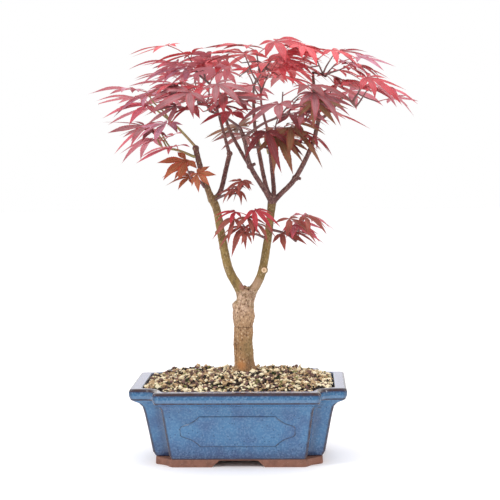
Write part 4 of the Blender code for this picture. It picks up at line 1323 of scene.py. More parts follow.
@dataclass
class Wood:
    """Trunk, boughs and twigs as one skin, split by bark.

    A knob is a swelling, given by its middle and its half sizes in millimetres. A stub is what is left
    of a cut twig: where it starts, which way it points, its length and its radius.
    """

    voxel: float = 0.0005
    line_step: float = 0.002
    sides: int = 24
    trunk_sides: int = 64
    stub_sides: int = 14
    flare_ridges: int = 5
    seam_height: float = 0.1369
    seam_width: float = 0.00045
    trunk_top: Pair = (0.182, 0.015)
    fork: Pair = (0.0075, 0.165)
    crumbs: Point = (0.1715, 0.0095, 0.011)
    crumb_height: float = 0.0022
    saddle: Point = (0.1735, 0.002, 0.008)
    trunk_relief: tuple[float, ...] = (0.00028, 0.00045, 0.0006, 0.00022, -0.0007)
    bough_relief: tuple[float, ...] = (0.00014, 0.00012, 0.00006, 0.00005)
    darkest: float = 0.85
    knobs: tuple[tuple[float, ...], ...] = (
        (-0.2, -1, 149, 6.8, 8.8, 14.5),
        (-1.4, -1.5, 158.5, 5.8, 7, 6.2), (10.4, -1, 148.5, 5.8, 8, 11), (7, -2.4, 165, 6.2, 6.2, 9),
        (7.8, -4, 172, 4.8, 4, 4.2), (8, 3.5, 172, 4.6, 4.2, 4), (-26.2, -7.8, 270.5, 5, 4.8, 4.4),
        (36, 0, 270, 5.4, 5.2, 4.6), (-42.5, -14, 323.8, 3.6, 3.4, 3.4),
        (13.8, -20, 305, 3.6, 3.4, 3.6), (-9.4, 21.5, 317.8, 3.3, 3.2, 3.2),
        (60, -3, 292, 3.7, 3.4, 3.6), (84.6, -10, 354, 3.5, 3.3, 3.4), (26.5, -3, 196.5, 4.2, 2.9, 4.2),
        (3.6, -3.5, 177, 1.2, 1.2, 1.4), (6, -2.5, 178.5, 1, 1, 1.6), (8.2, -4, 178, 1.3, 1.2, 1.3),
        (10.4, -2, 177.8, 1, 1.1, 1.5), (5.8, 3, 178.2, 1.2, 1.2, 1.4),
        (12, -4.5, 174.5, 1.4, 1.2, 1.2), (4.5, -7, 170, 1.2, 1.2, 1.1))
    stubs: tuple[tuple[Point, Point, float, float], ...] = (
        ((-26.2, -7.8, 270), (0.75, -0.35, 0.55), 7.5, 2.1), ((36, 0, 270), (0.2, -0.55, 0.8), 8, 2.2),
        ((13.8, -20, 305), (0.9, -0.3, 0.4), 6.2, 1.6), ((60, -3, 292), (0.9, -0.2, -0.15), 6, 1.5),
        ((7.2, -4, 170), (-0.1, -0.6, 0.8), 6.2, 2.4), ((-18, -5.5, 235), (-0.95, -0.25, 0.3), 6.2, 1.4))

    def flare(self, angle: float, place: Vector) -> float:
        """Root ridges that fade up the trunk, as a factor on its radius.

        Args:
            angle: angle round the trunk.
            place: place on its line.

        Returns:
            The factor.
        """
        ridge = 0.06 * clamp((0.112 - place.z) / 0.02) * math.sin(self.flare_ridges * angle + 0.7)
        lean = 0.05 * math.sin(2 * angle + place.z * 130.0) + 0.03 * math.sin(3 * angle - place.z * 210.0)
        return 1.0 + ridge + lean

    def rough_form(self) -> Piece:
        """All limbs, knobs and stubs as overlapping closed forms.

        Returns:
            Their object.
        """
        parts = MeshParts("rough_wood")
        for limb in LIMBS:
            line = smooth_line(limb.line, self.line_step)
            if limb.bark is Bark.TRUNK:
                parts.add(*ring_tube(line, self.trunk_sides, self.flare))
                continue
            line = [(place, radius * (1 + 0.28 * max(0.0, 1 - number / 5)))
                    for number, (place, radius) in enumerate(line)]
            parts.add(*ring_tube(line, self.sides))
        for place, way, *sizes in self.stubs:
            foot, way, (length, radius) = Vector(in_metres(*place)), Vector(way), in_metres(*sizes)
            line = [(foot + way.normalized() * length * share, radius * wider)
                    for share, wider in ((0.0, 1.3), (0.7, 1.0), (0.9, 1.12), (1.0, 1.0))]
            parts.add(*ring_tube(line, self.stub_sides))
        mesh = parts.mesh()
        bm = bmesh.new()
        bm.from_mesh(mesh)
        for knob in self.knobs:
            place, half = in_metres(*knob[:3]), in_metres(*knob[3:])
            place = Matrix.Translation(place) @ Matrix.Diagonal((*half, 1.0))
            bmesh.ops.create_icosphere(bm, subdivisions=3, radius=1.0, matrix=place)
        bm.to_mesh(mesh)
        bm.free()
        return put_in_scene("rough_wood", mesh)

    def skin(self) -> Mesh:
        """Melt the rough form into one skin and raise the bark's relief on it.

        Returns:
            The skin's mesh.
        """
        rough = self.rough_form()
        melt = rough.modifiers.new("melt", "REMESH")
        melt.mode = "VOXEL"
        melt.voxel_size = self.voxel
        ease = rough.modifiers.new("ease", "SMOOTH")
        ease.factor = 0.5
        ease.iterations = 4
        mesh = evaluated_mesh(rough)
        bpy.data.objects.remove(rough, do_unlink=True)
        self.raise_bark(mesh)
        return mesh

    @staticmethod
    def rough(place: Vector, across: float, along: float) -> float:
        """Noise from -1 to 1 that changes this fast across and along the wood."""
        return noise.noise(Vector((place.x * across, place.y * across, place.z * along)))

    def raise_bark(self, mesh: Mesh) -> None:
        """Push the skin in and out, and note where the graft's union shows and how dark each point is:
        painted shade in the hollows of the relief, and darkening along the graft's seam, among the crumbs
        and in the fork's saddle.

        Args:
            mesh: the skin.
        """
        lift, darkening, unions = [], [], []
        fork_x, fork_z = self.fork
        (trunk_top, trunk_fade), (crumb_z, crumb_rise, crumb_reach) = self.trunk_top, self.crumbs
        saddle_z, saddle_rise, saddle_reach = self.saddle
        for vert in mesh.vertices:
            x, y, z = vert.co
            trunk = clamp((trunk_top - z) / trunk_fade)
            off_fork = math.hypot(x - fork_x, y)
            near = max(0.0, 1 - abs(z - crumb_z) / crumb_rise) * max(0.0, 1 - off_fork / crumb_reach)
            furrow = self.rough(vert.co, 460, 300)
            grain = self.rough(vert.co, 1150, 900)
            lumps = noise.fractal(Vector((x * 170, y * 170, z * 120)), 1.0, 2.0, 3)
            scabs = max(0.0, self.rough(vert.co, 700, 520) - 0.1)
            ring = math.sin(z * 950 + 5 * self.rough(vert.co, 60, 60))
            line = self.seam_height + 0.0005 * self.rough(vert.co, 180, 0)
            seam = math.exp(-((z - line) / self.seam_width) ** 2)
            saddle = clamp((z - saddle_z) / saddle_rise) * max(0.0, 1 - (off_fork / saddle_reach) ** 2)
            crumbs = min(1.0, 2.5 * near) * abs(grain) * (1.0 + saddle)
            trunk_lift = sum(map(mul, self.trunk_relief, (furrow, lumps, scabs, grain, seam)))
            bough_lift = sum(map(mul, self.bough_relief, (lumps, scabs, ring, grain)))
            lift.append(trunk * trunk_lift + (1 - trunk) * bough_lift + self.crumb_height * crumbs)
            # Painted shade: where the relief is pushed in, on the trunk and more faintly on the boughs, the
            # bark is darkened.
            hollow = max(0.0, -furrow - 0.2) * 0.8 + max(0.0, -grain - 0.12) * 1.5
            dark = trunk * (hollow + 0.7 * seam) + (1 - trunk) * 0.35 * hollow
            dark += 1.8 * near * max(0.0, -grain) + saddle * (0.3 + 2.0 * max(0.0, grain))
            darkening.append(min(self.darkest, dark))
            away = math.hypot(x - fork_x, (z - fork_z) * 0.9) + 0.003 * lumps - max(0.0, (x - fork_x) * 0.4)
            above, below = clamp((0.0135 - away) / 0.005), clamp((0.166 - z) / 0.006)
            started = clamp((z + 0.004 * lumps - 0.144 - 0.6 * (x - 0.004)) / 0.013)
            unions.append(started * max(above, below))
        places = read_vectors(mesh.vertices, "co")
        places += read_vectors(mesh.vertex_normals, "vector") * np.array(lift)[:, None]
        mesh.vertices.foreach_set("co", places.ravel())
        mesh.update()
        self.shares = {"furrow": np.array(darkening), "union": np.array(unions)}

    def split(self, mesh: Mesh) -> dict[Bark, tuple[Mesh, np.ndarray]]:
        """Split the skin by bark, keeping its normals so that no seam shows.

        Args:
            mesh: the whole skin.

        Returns:
            For each bark its mesh and the normals of its points.
        """
        spots = [(place, limb.bark) for limb in LIMBS for place, _ in smooth_line(limb.line, 0.001)]
        tree = KDTree(len(spots))
        for number, (place, _) in enumerate(spots):
            tree.insert(place, number)
        tree.balance()
        barks = list(Bark)
        owner = np.array([barks.index(spots[tree.find(face.center)[1]][1]) for face in mesh.polygons])
        places = read_vectors(mesh.vertices, "co")
        normals = read_vectors(mesh.vertex_normals, "vector") @ np.array(PLANT_PLACE.to_3x3()).T
        skins = {}
        for number, bark in enumerate(barks):
            faces = [tuple(mesh.polygons[index].vertices) for index in np.flatnonzero(owner == number)]
            used = sorted({corner for face in faces for corner in face})
            number_of = {corner: index for index, corner in enumerate(used)}
            skin = bpy.data.meshes.new(bark.value + "_skin")
            faces = [[number_of[corner] for corner in face] for face in faces]
            skin.from_pydata(places[used].tolist(), [], faces)
            for name, shares in self.shares.items():
                mark_points(skin, name, shares[used])
            skins[bark] = (skin, normals[used])
        return skins

    def build(self) -> None:
        """Make the three skins in place of the trunk and the boughs."""
        for bark, (mesh, normals) in self.split(self.skin()).items():
            piece = placed_object(bark.value + "_skin", mesh, [BARKS[bark].material()])
            mesh.normals_split_custom_set_from_vertices(normals.tolist())
            dress(piece, bark.value + "_bark", [limb.name for limb in LIMBS if limb.bark is bark])


# Foliage

class Tint(Enum):
    """Leaf colours: upper side, margin and tips, underside, and how strongly the leaf glows in its own
    colour, painted light that stands in for light coming through the thin blade.
    """

    CRIMSON = ((0.43, 0.042, 0.056), (0.53, 0.032, 0.044), (0.47, 0.085, 0.088), 0.07)
    # A darker copy of crimson: painted shade for masses that lie under the top of the crown.
    DEEP = ((0.26, 0.024, 0.03), (0.39, 0.02, 0.028), (0.3, 0.05, 0.048), 0.04)
    ROSE = ((0.54, 0.125, 0.165), (0.61, 0.055, 0.078), (0.56, 0.14, 0.165), 0.13)
    # Its pale bluish upper side is partly a painted sheen, the white surroundings mirrored on the leaf;
    # margin, tips and underside keep the leaf's red.
    MAUVE = ((0.45, 0.19, 0.26), (0.54, 0.075, 0.11), (0.52, 0.145, 0.175), 0.11)
    RUSSET = ((0.3, 0.085, 0.062), (0.42, 0.05, 0.042), (0.36, 0.11, 0.085), 0.04)
    # A darker copy of mauve without its sheen: painted shade for masses that lie under the top of the
    # crown.
    DUSK = ((0.3, 0.105, 0.118), (0.4, 0.045, 0.058), (0.34, 0.085, 0.085), 0.03)
    SCARLET = ((0.62, 0.085, 0.102), (0.74, 0.058, 0.066), (0.68, 0.115, 0.12), 0.06)
    WINE = ((0.21, 0.044, 0.048), (0.3, 0.026, 0.032), (0.25, 0.065, 0.056), 0.03)
    OLIVE = ((0.24, 0.115, 0.055), (0.31, 0.06, 0.036), (0.28, 0.12, 0.06), 0.04)
    BRONZE = ((0.37, 0.12, 0.052), (0.47, 0.065, 0.036), (0.39, 0.135, 0.07), 0.05)

    def finish(self) -> Material:
        """Make the leaf material of this tint.

        Returns:
            The material.
        """
        upper, margin, under, glow = self.value
        # The glow is painted light: the leaf shines in its own colour as if lit through the blade.
        shader = Shader(self.name.lower() + "_leaf", 0.46, Specular_IOR_Level=0.3, Emission_Strength=glow)
        split = shader.node("SeparateXYZ", {"Vector": shader.node("TexCoord").outputs["UV"]}).outputs
        across = shader.math("ABSOLUTE", shader.math("SUBTRACT", split["X"], 0.5))
        colour = shader.effect("mottle", Low_Tone=tuple(part * 0.8 for part in upper),
                               High_Tone=tuple(min(1.0, part * 1.18 + 0.01) for part in upper), Scale=75.0,
                               Detail=5.0, Sharpness=0.2)["Color"]
        outer = shader.math("MAXIMUM", shader.fade(across, 0.26, 0.48), shader.fade(split["Y"], 0.62, 1.0))
        colour = shader.mix(outer, colour, margin, 0.75)
        pale = tuple(min(1.0, part * 1.25 + 0.06) for part in upper)
        colour = shader.mix(shader.fade(across, 0.07, 0.0), colour, pale, 0.5)
        colour = shader.mix(shader.node("NewGeometry").outputs["Backfacing"], colour, under)
        shader.set(Base_Color=colour, Emission_Color=colour)
        slant = shader.math("MULTIPLY_ADD", across, -0.9, split["Y"])
        waves = shader.math("SINE", shader.math("MULTIPLY", slant, 85.0))
        shader.bump(shader.math("MULTIPLY_ADD", waves, 0.16, shader.fade(across, 0.0, 0.1)), 0.00035)
        return shader.material


@dataclass(frozen=True)
class Mass:
    """A mass of foliage: where its stem starts along its limb, and its space in millimetres."""

    name: str
    limb: str
    along: float
    centre: Point
    reach: Point
    shoots: int
    leaf_scale: float
    seed: int
    tints: tuple[Tint, ...]
    green_stem: bool = False
    droop: Pair = (0.02, 0.22)
    kept: float = 0.9
    lean: float = 0.0
    drawn: float = 1.0
    broad: float = 1.0
    sunk: float = 0.0


MASSES = (
    Mass("left_low_foliage", "left_bough_upper", 0.86, (-75, -30, 334), (58, 70, 32), 3, 0.95, 11,
         (Tint.ROSE, Tint.DUSK, Tint.MAUVE), True, kept=0.6),
    Mass("left_high_foliage", "left_bough_upper", 1.0, (-80, 10, 370), (72, 70, 32), 3, 1.0, 12,
         (Tint.MAUVE, Tint.ROSE, Tint.MAUVE), True, kept=0.35),
    Mass("upper_left_foliage", "crossing_bough", 1.0, (-37, -4, 406), (72, 70, 28), 3, 1.0, 13,
         (Tint.MAUVE, Tint.SCARLET, Tint.ROSE), kept=0.75),
    Mass("top_foliage", "centre_bough", 1.0, (24, 6, 411), (72, 70, 28), 4, 1.0, 14,
         (Tint.SCARLET, Tint.CRIMSON, Tint.SCARLET), kept=1.12, drawn=1.12, sunk=1.5),
    Mass("right_top_foliage", "right_rising_twig", 1.0, (92, -4, 412), (76, 72, 30), 4, 1.0, 15,
         (Tint.SCARLET, Tint.MAUVE, Tint.CRIMSON, Tint.ROSE), kept=0.6, drawn=0.88, sunk=7),
    Mass("right_foliage", "right_reaching_twig", 1.0, (122, -28, 374), (68, 70, 34), 3, 1.0, 16,
         (Tint.CRIMSON, Tint.ROSE, Tint.MAUVE), droop=(0.04, 0.28), kept=0.62),
    Mass("front_left_foliage", "right_front_bough", 1.0, (-24, -70, 366), (72, 62, 36), 3, 1.0, 17,
         (Tint.CRIMSON, Tint.DUSK, Tint.DEEP, Tint.ROSE), kept=1.15, lean=0.04, sunk=-5),
    Mass("front_right_foliage", "right_front_bough", 0.9, (52, -70, 368), (72, 62, 40), 3, 1.0, 18,
         (Tint.WINE, Tint.DUSK, Tint.OLIVE, Tint.DEEP), kept=1.0, droop=(0.05, 0.3), lean=0.06),
    Mass("centre_foliage", "right_front_bough", 0.75, (40, -30, 334), (60, 60, 44), 3, 0.95, 19,
         (Tint.WINE, Tint.OLIVE, Tint.DEEP), kept=0.85, droop=(0.2, 0.5), lean=0.25),
    Mass("back_left_foliage", "left_inner_twig", 1.0, (-46, 70, 384), (76, 66, 38), 4, 1.0, 20,
         (Tint.ROSE, Tint.MAUVE, Tint.CRIMSON, Tint.ROSE), kept=0.3),
    Mass("back_foliage", "back_bough", 1.0, (22, 84, 400), (72, 60, 36), 3, 1.0, 21,
         (Tint.SCARLET, Tint.CRIMSON, Tint.ROSE), kept=1.15, drawn=1.1),
    Mass("back_right_foliage", "back_bough", 0.8, (90, 62, 376), (74, 70, 40), 4, 1.0, 22,
         (Tint.CRIMSON, Tint.DEEP, Tint.MAUVE), kept=0.55),
    Mass("back_low_foliage", "back_bough", 0.7, (20, 76, 336), (66, 62, 34), 2, 1.0, 23,
         (Tint.WINE, Tint.OLIVE, Tint.CRIMSON), True),
    Mass("low_left_sprig", "left_bough_upper", 0.3, (-46, -26, 300), (38, 46, 26), 1, 0.7, 24,
         (Tint.BRONZE, Tint.CRIMSON), droop=(0.05, 0.25), kept=1.0, lean=0.45, broad=1.5),
    Mass("low_middle_sprig", "right_bough", 0.62, (12, -26, 246), (44, 48, 38), 2, 0.76, 25,
         (Tint.RUSSET, Tint.CRIMSON), droop=(0.1, 0.6), kept=1.0, lean=0.25, drawn=0.8, broad=1.1),
    Mass("low_right_sprig", "right_bough", 0.7, (60, -12, 238), (42, 52, 38), 2, 0.84, 26,
         (Tint.RUSSET, Tint.ROSE), droop=(0.1, 0.45), kept=0.75, lean=0.25, drawn=0.9, broad=1.1),
    Mass("left_node_sprig", "left_bough", 0.98, (0, -30, 285), (38, 46, 26), 1, 0.72, 27,
         (Tint.RUSSET, Tint.CRIMSON), droop=(0.1, 0.5), kept=1.0, lean=0.2, drawn=0.75),
)


@dataclass(frozen=True)
class GrowthRule:
    """The seeded rule of the crown, as in the part's source, and how it is carried on."""

    gap: float = 0.0003
    clear: float = 0.0007
    stem_radius: float = 0.0017
    shoot_radius: float = 0.0012
    stalk_radius: float = 0.0007
    hub_drop: float = 0.3
    stem_bend: float = 0.0035
    stem_bend_rise: float = 0.6
    bend_leaf_spread: float = 80.0
    stalk_lengths: tuple[float, ...] = (0.032, 0.028, 0.024, 0.02, 0.016, 0.012)
    shoot_fan: float = math.radians(62)
    shoot_spacing: float = 0.3
    shoot_wander: float = 0.15
    shoot_rise: float = 0.5
    pairs: tuple[Pair, ...] = ((0.84, 62.0), (0.4, 100.0))
    shortest_shoot: float = 0.01
    blade_room: float = 0.056
    space_power: int = 4
    turns_tried: tuple[float, ...] = (0.0, 14.0, -14.0, 28.0, -28.0, 44.0, -44.0)
    stalk_rises: Pair = (0.1, 0.5)
    leaf_sizes: Pair = (0.86, 1.06)
    leaf_pitches: Pair = (2.0, 24.0)
    leaf_rolls: Pair = (-16.0, 16.0)
    twig_step: float = 0.004
    stalk_step: float = 0.006
    drawn_stem: tuple[float, ...] = (0.0016, 0.0015, 0.0013, 0.00105)
    drawn_shoot: Pair = (0.001, 0.0006)
    drawn_side: Pair = (0.0008, 0.0005)
    drawn_stalk: Point = (0.00062, 0.00045, 0.0005)
    stalk_sag: Pair = (0.02, 0.1)
    waver: float = 0.035
    side_share: float = 0.55
    side_chance: float = 0.6
    side_rises: Pair = (-0.55, 0.25)
    side_turn: float = 18.0
    side_lifts: Pair = (-0.1, 0.6)
    side_roll: float = 22.0
    side_clear: float = -0.0004
    side_pair_chance: float = 0.2
    lean: float = math.radians(13)
    lean_spread: float = math.radians(9)
    tip_raised: float = math.radians(8)
    lean_reach: float = 0.09
    sideways: float = math.radians(5)
    sideways_reach: float = 0.12
    crown_middle: Pair = (0.018, 0.006)
    outward_depth: float = 0.6
    outward_shares: tuple[float, ...] = (0.8, 0.6, 0.4, 0.2)
    side_spread: float = 58.0
    side_lengths: Pair = (0.014, 0.03)
    side_leaf_sizes: Pair = (0.55, 0.85)
    side_pitches: Pair = (-4.0, 26.0)


RULE = GrowthRule()


@dataclass(frozen=True)
class LeafForm:
    """The coarse outline that keeps leaves apart, and the lobes of the leaf that is drawn."""

    guard_angles: tuple[float, ...] = (-112.0, -52.0, 0.0, 52.0, 112.0)
    guard_lengths: tuple[float, ...] = (0.026, 0.043, 0.051, 0.043, 0.026)
    simple_lobe: float = 0.03
    lobe_half_width: float = 0.0046
    lobe_widest: float = 0.5
    sinus_radius: float = 0.0075
    base_length: float = 0.004
    base_half_width: float = 0.0011
    middle_x: float = 0.003
    half_thickness: float = 0.0011
    droop: float = 0.22
    stations: int = 30
    teeth: int = 13
    tooth_depth: float = 0.17
    palm_radius: float = 0.002
    drawn_half_width: float = 0.0053
    lobe_rise_to: float = 0.44
    lobe_fall_to: float = 0.97
    seven_chance: float = 0.3
    five: tuple[Pair, ...] = (
        (-92.0, 0.026), (-44.0, 0.044), (0.0, 0.052), (44.0, 0.044), (92.0, 0.026))
    seven: tuple[Pair, ...] = (
        (-118.0, 0.018), (-74.0, 0.034), (-36.0, 0.047), (0.0, 0.052), (36.0, 0.047), (74.0, 0.034),
        (118.0, 0.018))

    def guard_outline(self, scale: float, grow: float) -> list[Vector]:
        """The coarse outline round the end of the stalk, with +X along the middle lobe.

        Args:
            scale: the leaf's size.
            grow: how much wider than the leaf it is.

        Returns:
            The outline's points.
        """
        angles, lengths = self.guard_angles, self.guard_lengths
        longest = max(lengths)
        root = Vector((-self.base_length, self.base_half_width + grow, 0.0))
        points = [Vector((root.x, -root.y, 0.0))]
        for number, (angle, length) in enumerate(zip(angles, lengths)):
            along = Vector((math.cos(math.radians(angle)), math.sin(math.radians(angle)), 0.0))
            across = Vector((-along.y, along.x, 0.0))
            half = self.lobe_half_width * (length / longest) ** 0.5 + grow
            widest = along * length * self.lobe_widest
            tip = along * (length + grow)
            simple = length < self.simple_lobe
            points += [tip] if simple else [widest - across * half, tip, widest + across * half]
            if number < len(angles) - 1:
                middle = math.radians((angle + angles[number + 1]) / 2)
                between = Vector((math.cos(middle), math.sin(middle), 0.0))
                points.append(between * (self.sinus_radius + grow))
        points.append(root)
        for point in points:
            point.z = -self.droop * longest * (point.length / longest) ** 2
        return [point * scale for point in points]

    def guard(self, place: Matrix, scale: float, grow: float) -> tuple[list[Vector], Faces]:
        """A coarse closed leaf.

        Args:
            place: the leaf's frame.
            scale: its size.
            grow: how much wider than the leaf it is.

        Returns:
            Its points and faces.
        """
        ring = [place @ point for point in self.guard_outline(scale, grow)]
        count = len(ring)
        for side in (1, -1):
            ring.append(place @ Vector((self.middle_x, 0.0, side * (self.half_thickness + grow))))
        faces = [(number, (number + 1) % count, count) for number in range(count)]
        faces += [((number + 1) % count, number, count + 1) for number in range(count)]
        return ring, faces

    def draw(self, parts: MeshParts, place: Matrix, scale: float, droop: float, broad: float,
             rng: random.Random) -> None:
        """Draw a leaf of five or seven toothed lobes.

        Args:
            parts: the mesh that it joins.
            place: the leaf's frame.
            scale: its size.
            droop: how far its tips hang.
            broad: how much broader its lobes are.
            rng: the seeded draws.
        """
        lobes = self.seven if rng.random() < self.seven_chance else self.five
        angles = [angle + rng.uniform(-5, 5) for angle, _ in lobes]
        fold = rng.uniform(0.05, 0.34)
        for number, (_, length) in enumerate(lobes):
            gaps = [abs(angles[number] - angles[other]) / 2 for other in (number - 1, number + 1)
                    if 0 <= other < len(lobes)]
            long = length * scale * rng.uniform(0.88, 1.06)
            hang = droop * rng.uniform(0.75, 1.3)
            points, flat_map = self.lobe(long, math.radians(min(gaps)), scale * broad ** 2, hang, fold, rng)
            angle = math.radians(angles[number])
            spin = np.array([[math.cos(angle), -math.sin(angle), 0], [math.sin(angle), math.cos(angle), 0],
                             [0, 0, 1]])
            placed = points @ spin.T @ np.array(place.to_3x3()).T + np.array(place.translation)
            parts.add(np.clip(placed, *PLANT_ROOM), LOBE_FACES, flat_map)

    def lobe(self, long: float, half_gap: float, scale: float, droop: float, fold: float,
             rng: random.Random) -> tuple[np.ndarray, np.ndarray]:
        """One lobe along +X, as rows of left edge, midrib and right edge.

        Args:
            long: its length.
            half_gap: half the angle to the next lobe.
            scale: the leaf's size.
            droop: how far its tip hangs.
            fold: how steeply it folds up from its midrib.
            rng: the seeded draws.

        Returns:
            Its points and their flat coordinates.
        """
        t = np.linspace(0.0, 1.0, self.stations)
        foot = self.palm_radius * 0.2
        along = foot + (long - foot) * t
        rise = 0.3 + 0.7 * np.sin(np.minimum(t / self.lobe_rise_to, 1.0) * math.pi / 2)
        falling = np.clip((t - self.lobe_rise_to) / (self.lobe_fall_to - self.lobe_rise_to), 0, 1)
        fall = np.cos(falling * math.pi / 2) ** 1.25
        half = self.drawn_half_width * math.sqrt(long / 0.052 / scale) * scale * rise * fall
        half = half * (1.0 - self.tooth_depth * ((t * self.teeth) % 1.0))
        half = np.minimum(half, along * math.tan(half_gap) + 0.0001)
        half = np.maximum(half, 0.00022 * (1.02 - t))
        bend = rng.uniform(-0.16, 0.16) * long * t ** 2
        roll = rng.uniform(-0.5, 0.5) * t
        hang = -droop * long * t ** 1.8 + rng.uniform(0.0, 0.06) * long * np.sin(t * math.pi)
        rows = []
        for side in (-1.0, 0.0, 1.0):
            out = side * half
            up = np.abs(out) * fold
            rows.append(np.stack([along, bend + out * np.cos(roll) - up * np.sin(roll),
                                  hang + up * np.cos(roll) + out * np.sin(roll)], axis=1))
        points = np.stack(rows, axis=1).reshape(-1, 3)
        return points, np.stack([np.tile([0.0, 0.5, 1.0], self.stations), np.repeat(t, 3)], axis=1)


LEAF = LeafForm()
LOBE_FACES = [[row + corner for corner in corners] for row in range(0, (LEAF.stations - 1) * 3, 3)
              for corners in ((0, 3, 4, 1), (1, 4, 5, 2))]


def cone_guard(start: Vector, end: Vector, start_radius: float, end_radius: float
               ) -> tuple[list[Vector], Faces]:
    """A three-sided cone between two places.

    Args:
        start: its foot.
        end: its tip.
        start_radius: radius at the foot.
        end_radius: radius at the tip.

    Returns:
        Its points and faces.
    """
    bm = bmesh.new()
    way = end - start
    turn = way.to_track_quat("Z", "Y").to_matrix().to_4x4()
    middle = Matrix.Translation(end - way / 2)
    bmesh.ops.create_cone(bm, cap_ends=True, segments=3, radius1=start_radius, radius2=end_radius,
                          depth=way.length, matrix=middle @ turn)
    points = [vert.co.copy() for vert in bm.verts]
    faces = [tuple(vert.index for vert in face.verts) for face in bm.faces]
    bm.free()
    return points, faces


def point_along(line: Line, share: float) -> tuple[Vector, Vector, float]:
    """Find a place along a smooth line.

    Args:
        line: the line.
        share: how far along it, from 0 to 1.

    Returns:
        The place, the way on and the radius.
    """
    lengths = [(b[0] - a[0]).length for a, b in zip(line, line[1:])]
    left = share * sum(lengths)
    for (start, radius), (end, _), length in zip(line, line[1:], lengths):
        if left <= length:
            return start.lerp(end, left / length), (end - start).normalized(), radius
        left -= length
    return line[-1][0], (end - start).normalized(), line[-1][1]


def stem_start(line: Line, along: float, hub: Vector) -> Vector:
    """Where a stem to the hub leaves its limb.

    Args:
        line: the limb's line.
        along: the share along it.
        hub: where the stem ends.

    Returns:
        The stem's first place.
    """
    place, way, radius = point_along(line, along)
    aim = (hub - place).normalized()
    lean = aim.dot(way)
    if along == 1.0:
        return place + way * (RULE.gap + RULE.stem_radius * math.sqrt(1.0 - lean ** 2))
    sideways = (aim - way * lean).normalized()
    return place + sideways * (radius + RULE.gap + RULE.stem_radius * abs(lean))


@dataclass
class Growth:
    """Everything that stands in the crown so far, to keep each new twig and leaf clear of it."""

    taken: list[tuple[str, BVHTree, Vector, Vector]] = field(default_factory=list)

    @staticmethod
    def box(points: Sequence[Vector]) -> tuple[Vector, Vector]:
        """The lowest and the highest corner of the points."""
        return Vector(map(min, *points)), Vector(map(max, *points))

    def add(self, owner: str, points: Sequence[Vector], faces: Faces) -> None:
        """Note a piece.

        Args:
            owner: who holds it.
            points: its points.
            faces: its faces.
        """
        self.taken.append((owner, BVHTree.FromPolygons(points, faces), *self.box(points)))

    def touches(self, points: Sequence[Vector], faces: Faces, ignored: str = "") -> bool:
        """Whether a piece touches one that stands.

        Args:
            points: its points.
            faces: its faces.
            ignored: an owner whose pieces it may touch.

        Returns:
            True if it touches one.
        """
        low, high = self.box(points)
        tree = None
        for owner, other, other_low, other_high in self.taken:
            if owner == ignored or any(high[axis] < other_low[axis] or low[axis] > other_high[axis]
                                       for axis in range(3)):
                continue
            tree = tree or BVHTree.FromPolygons(points, faces)
            if tree.overlap(other):
                return True
        return False


@dataclass
class Spray:
    """One shoot with its leaves, all of one tint."""

    root: Vector
    end: Vector
    heading: float
    tint: Tint


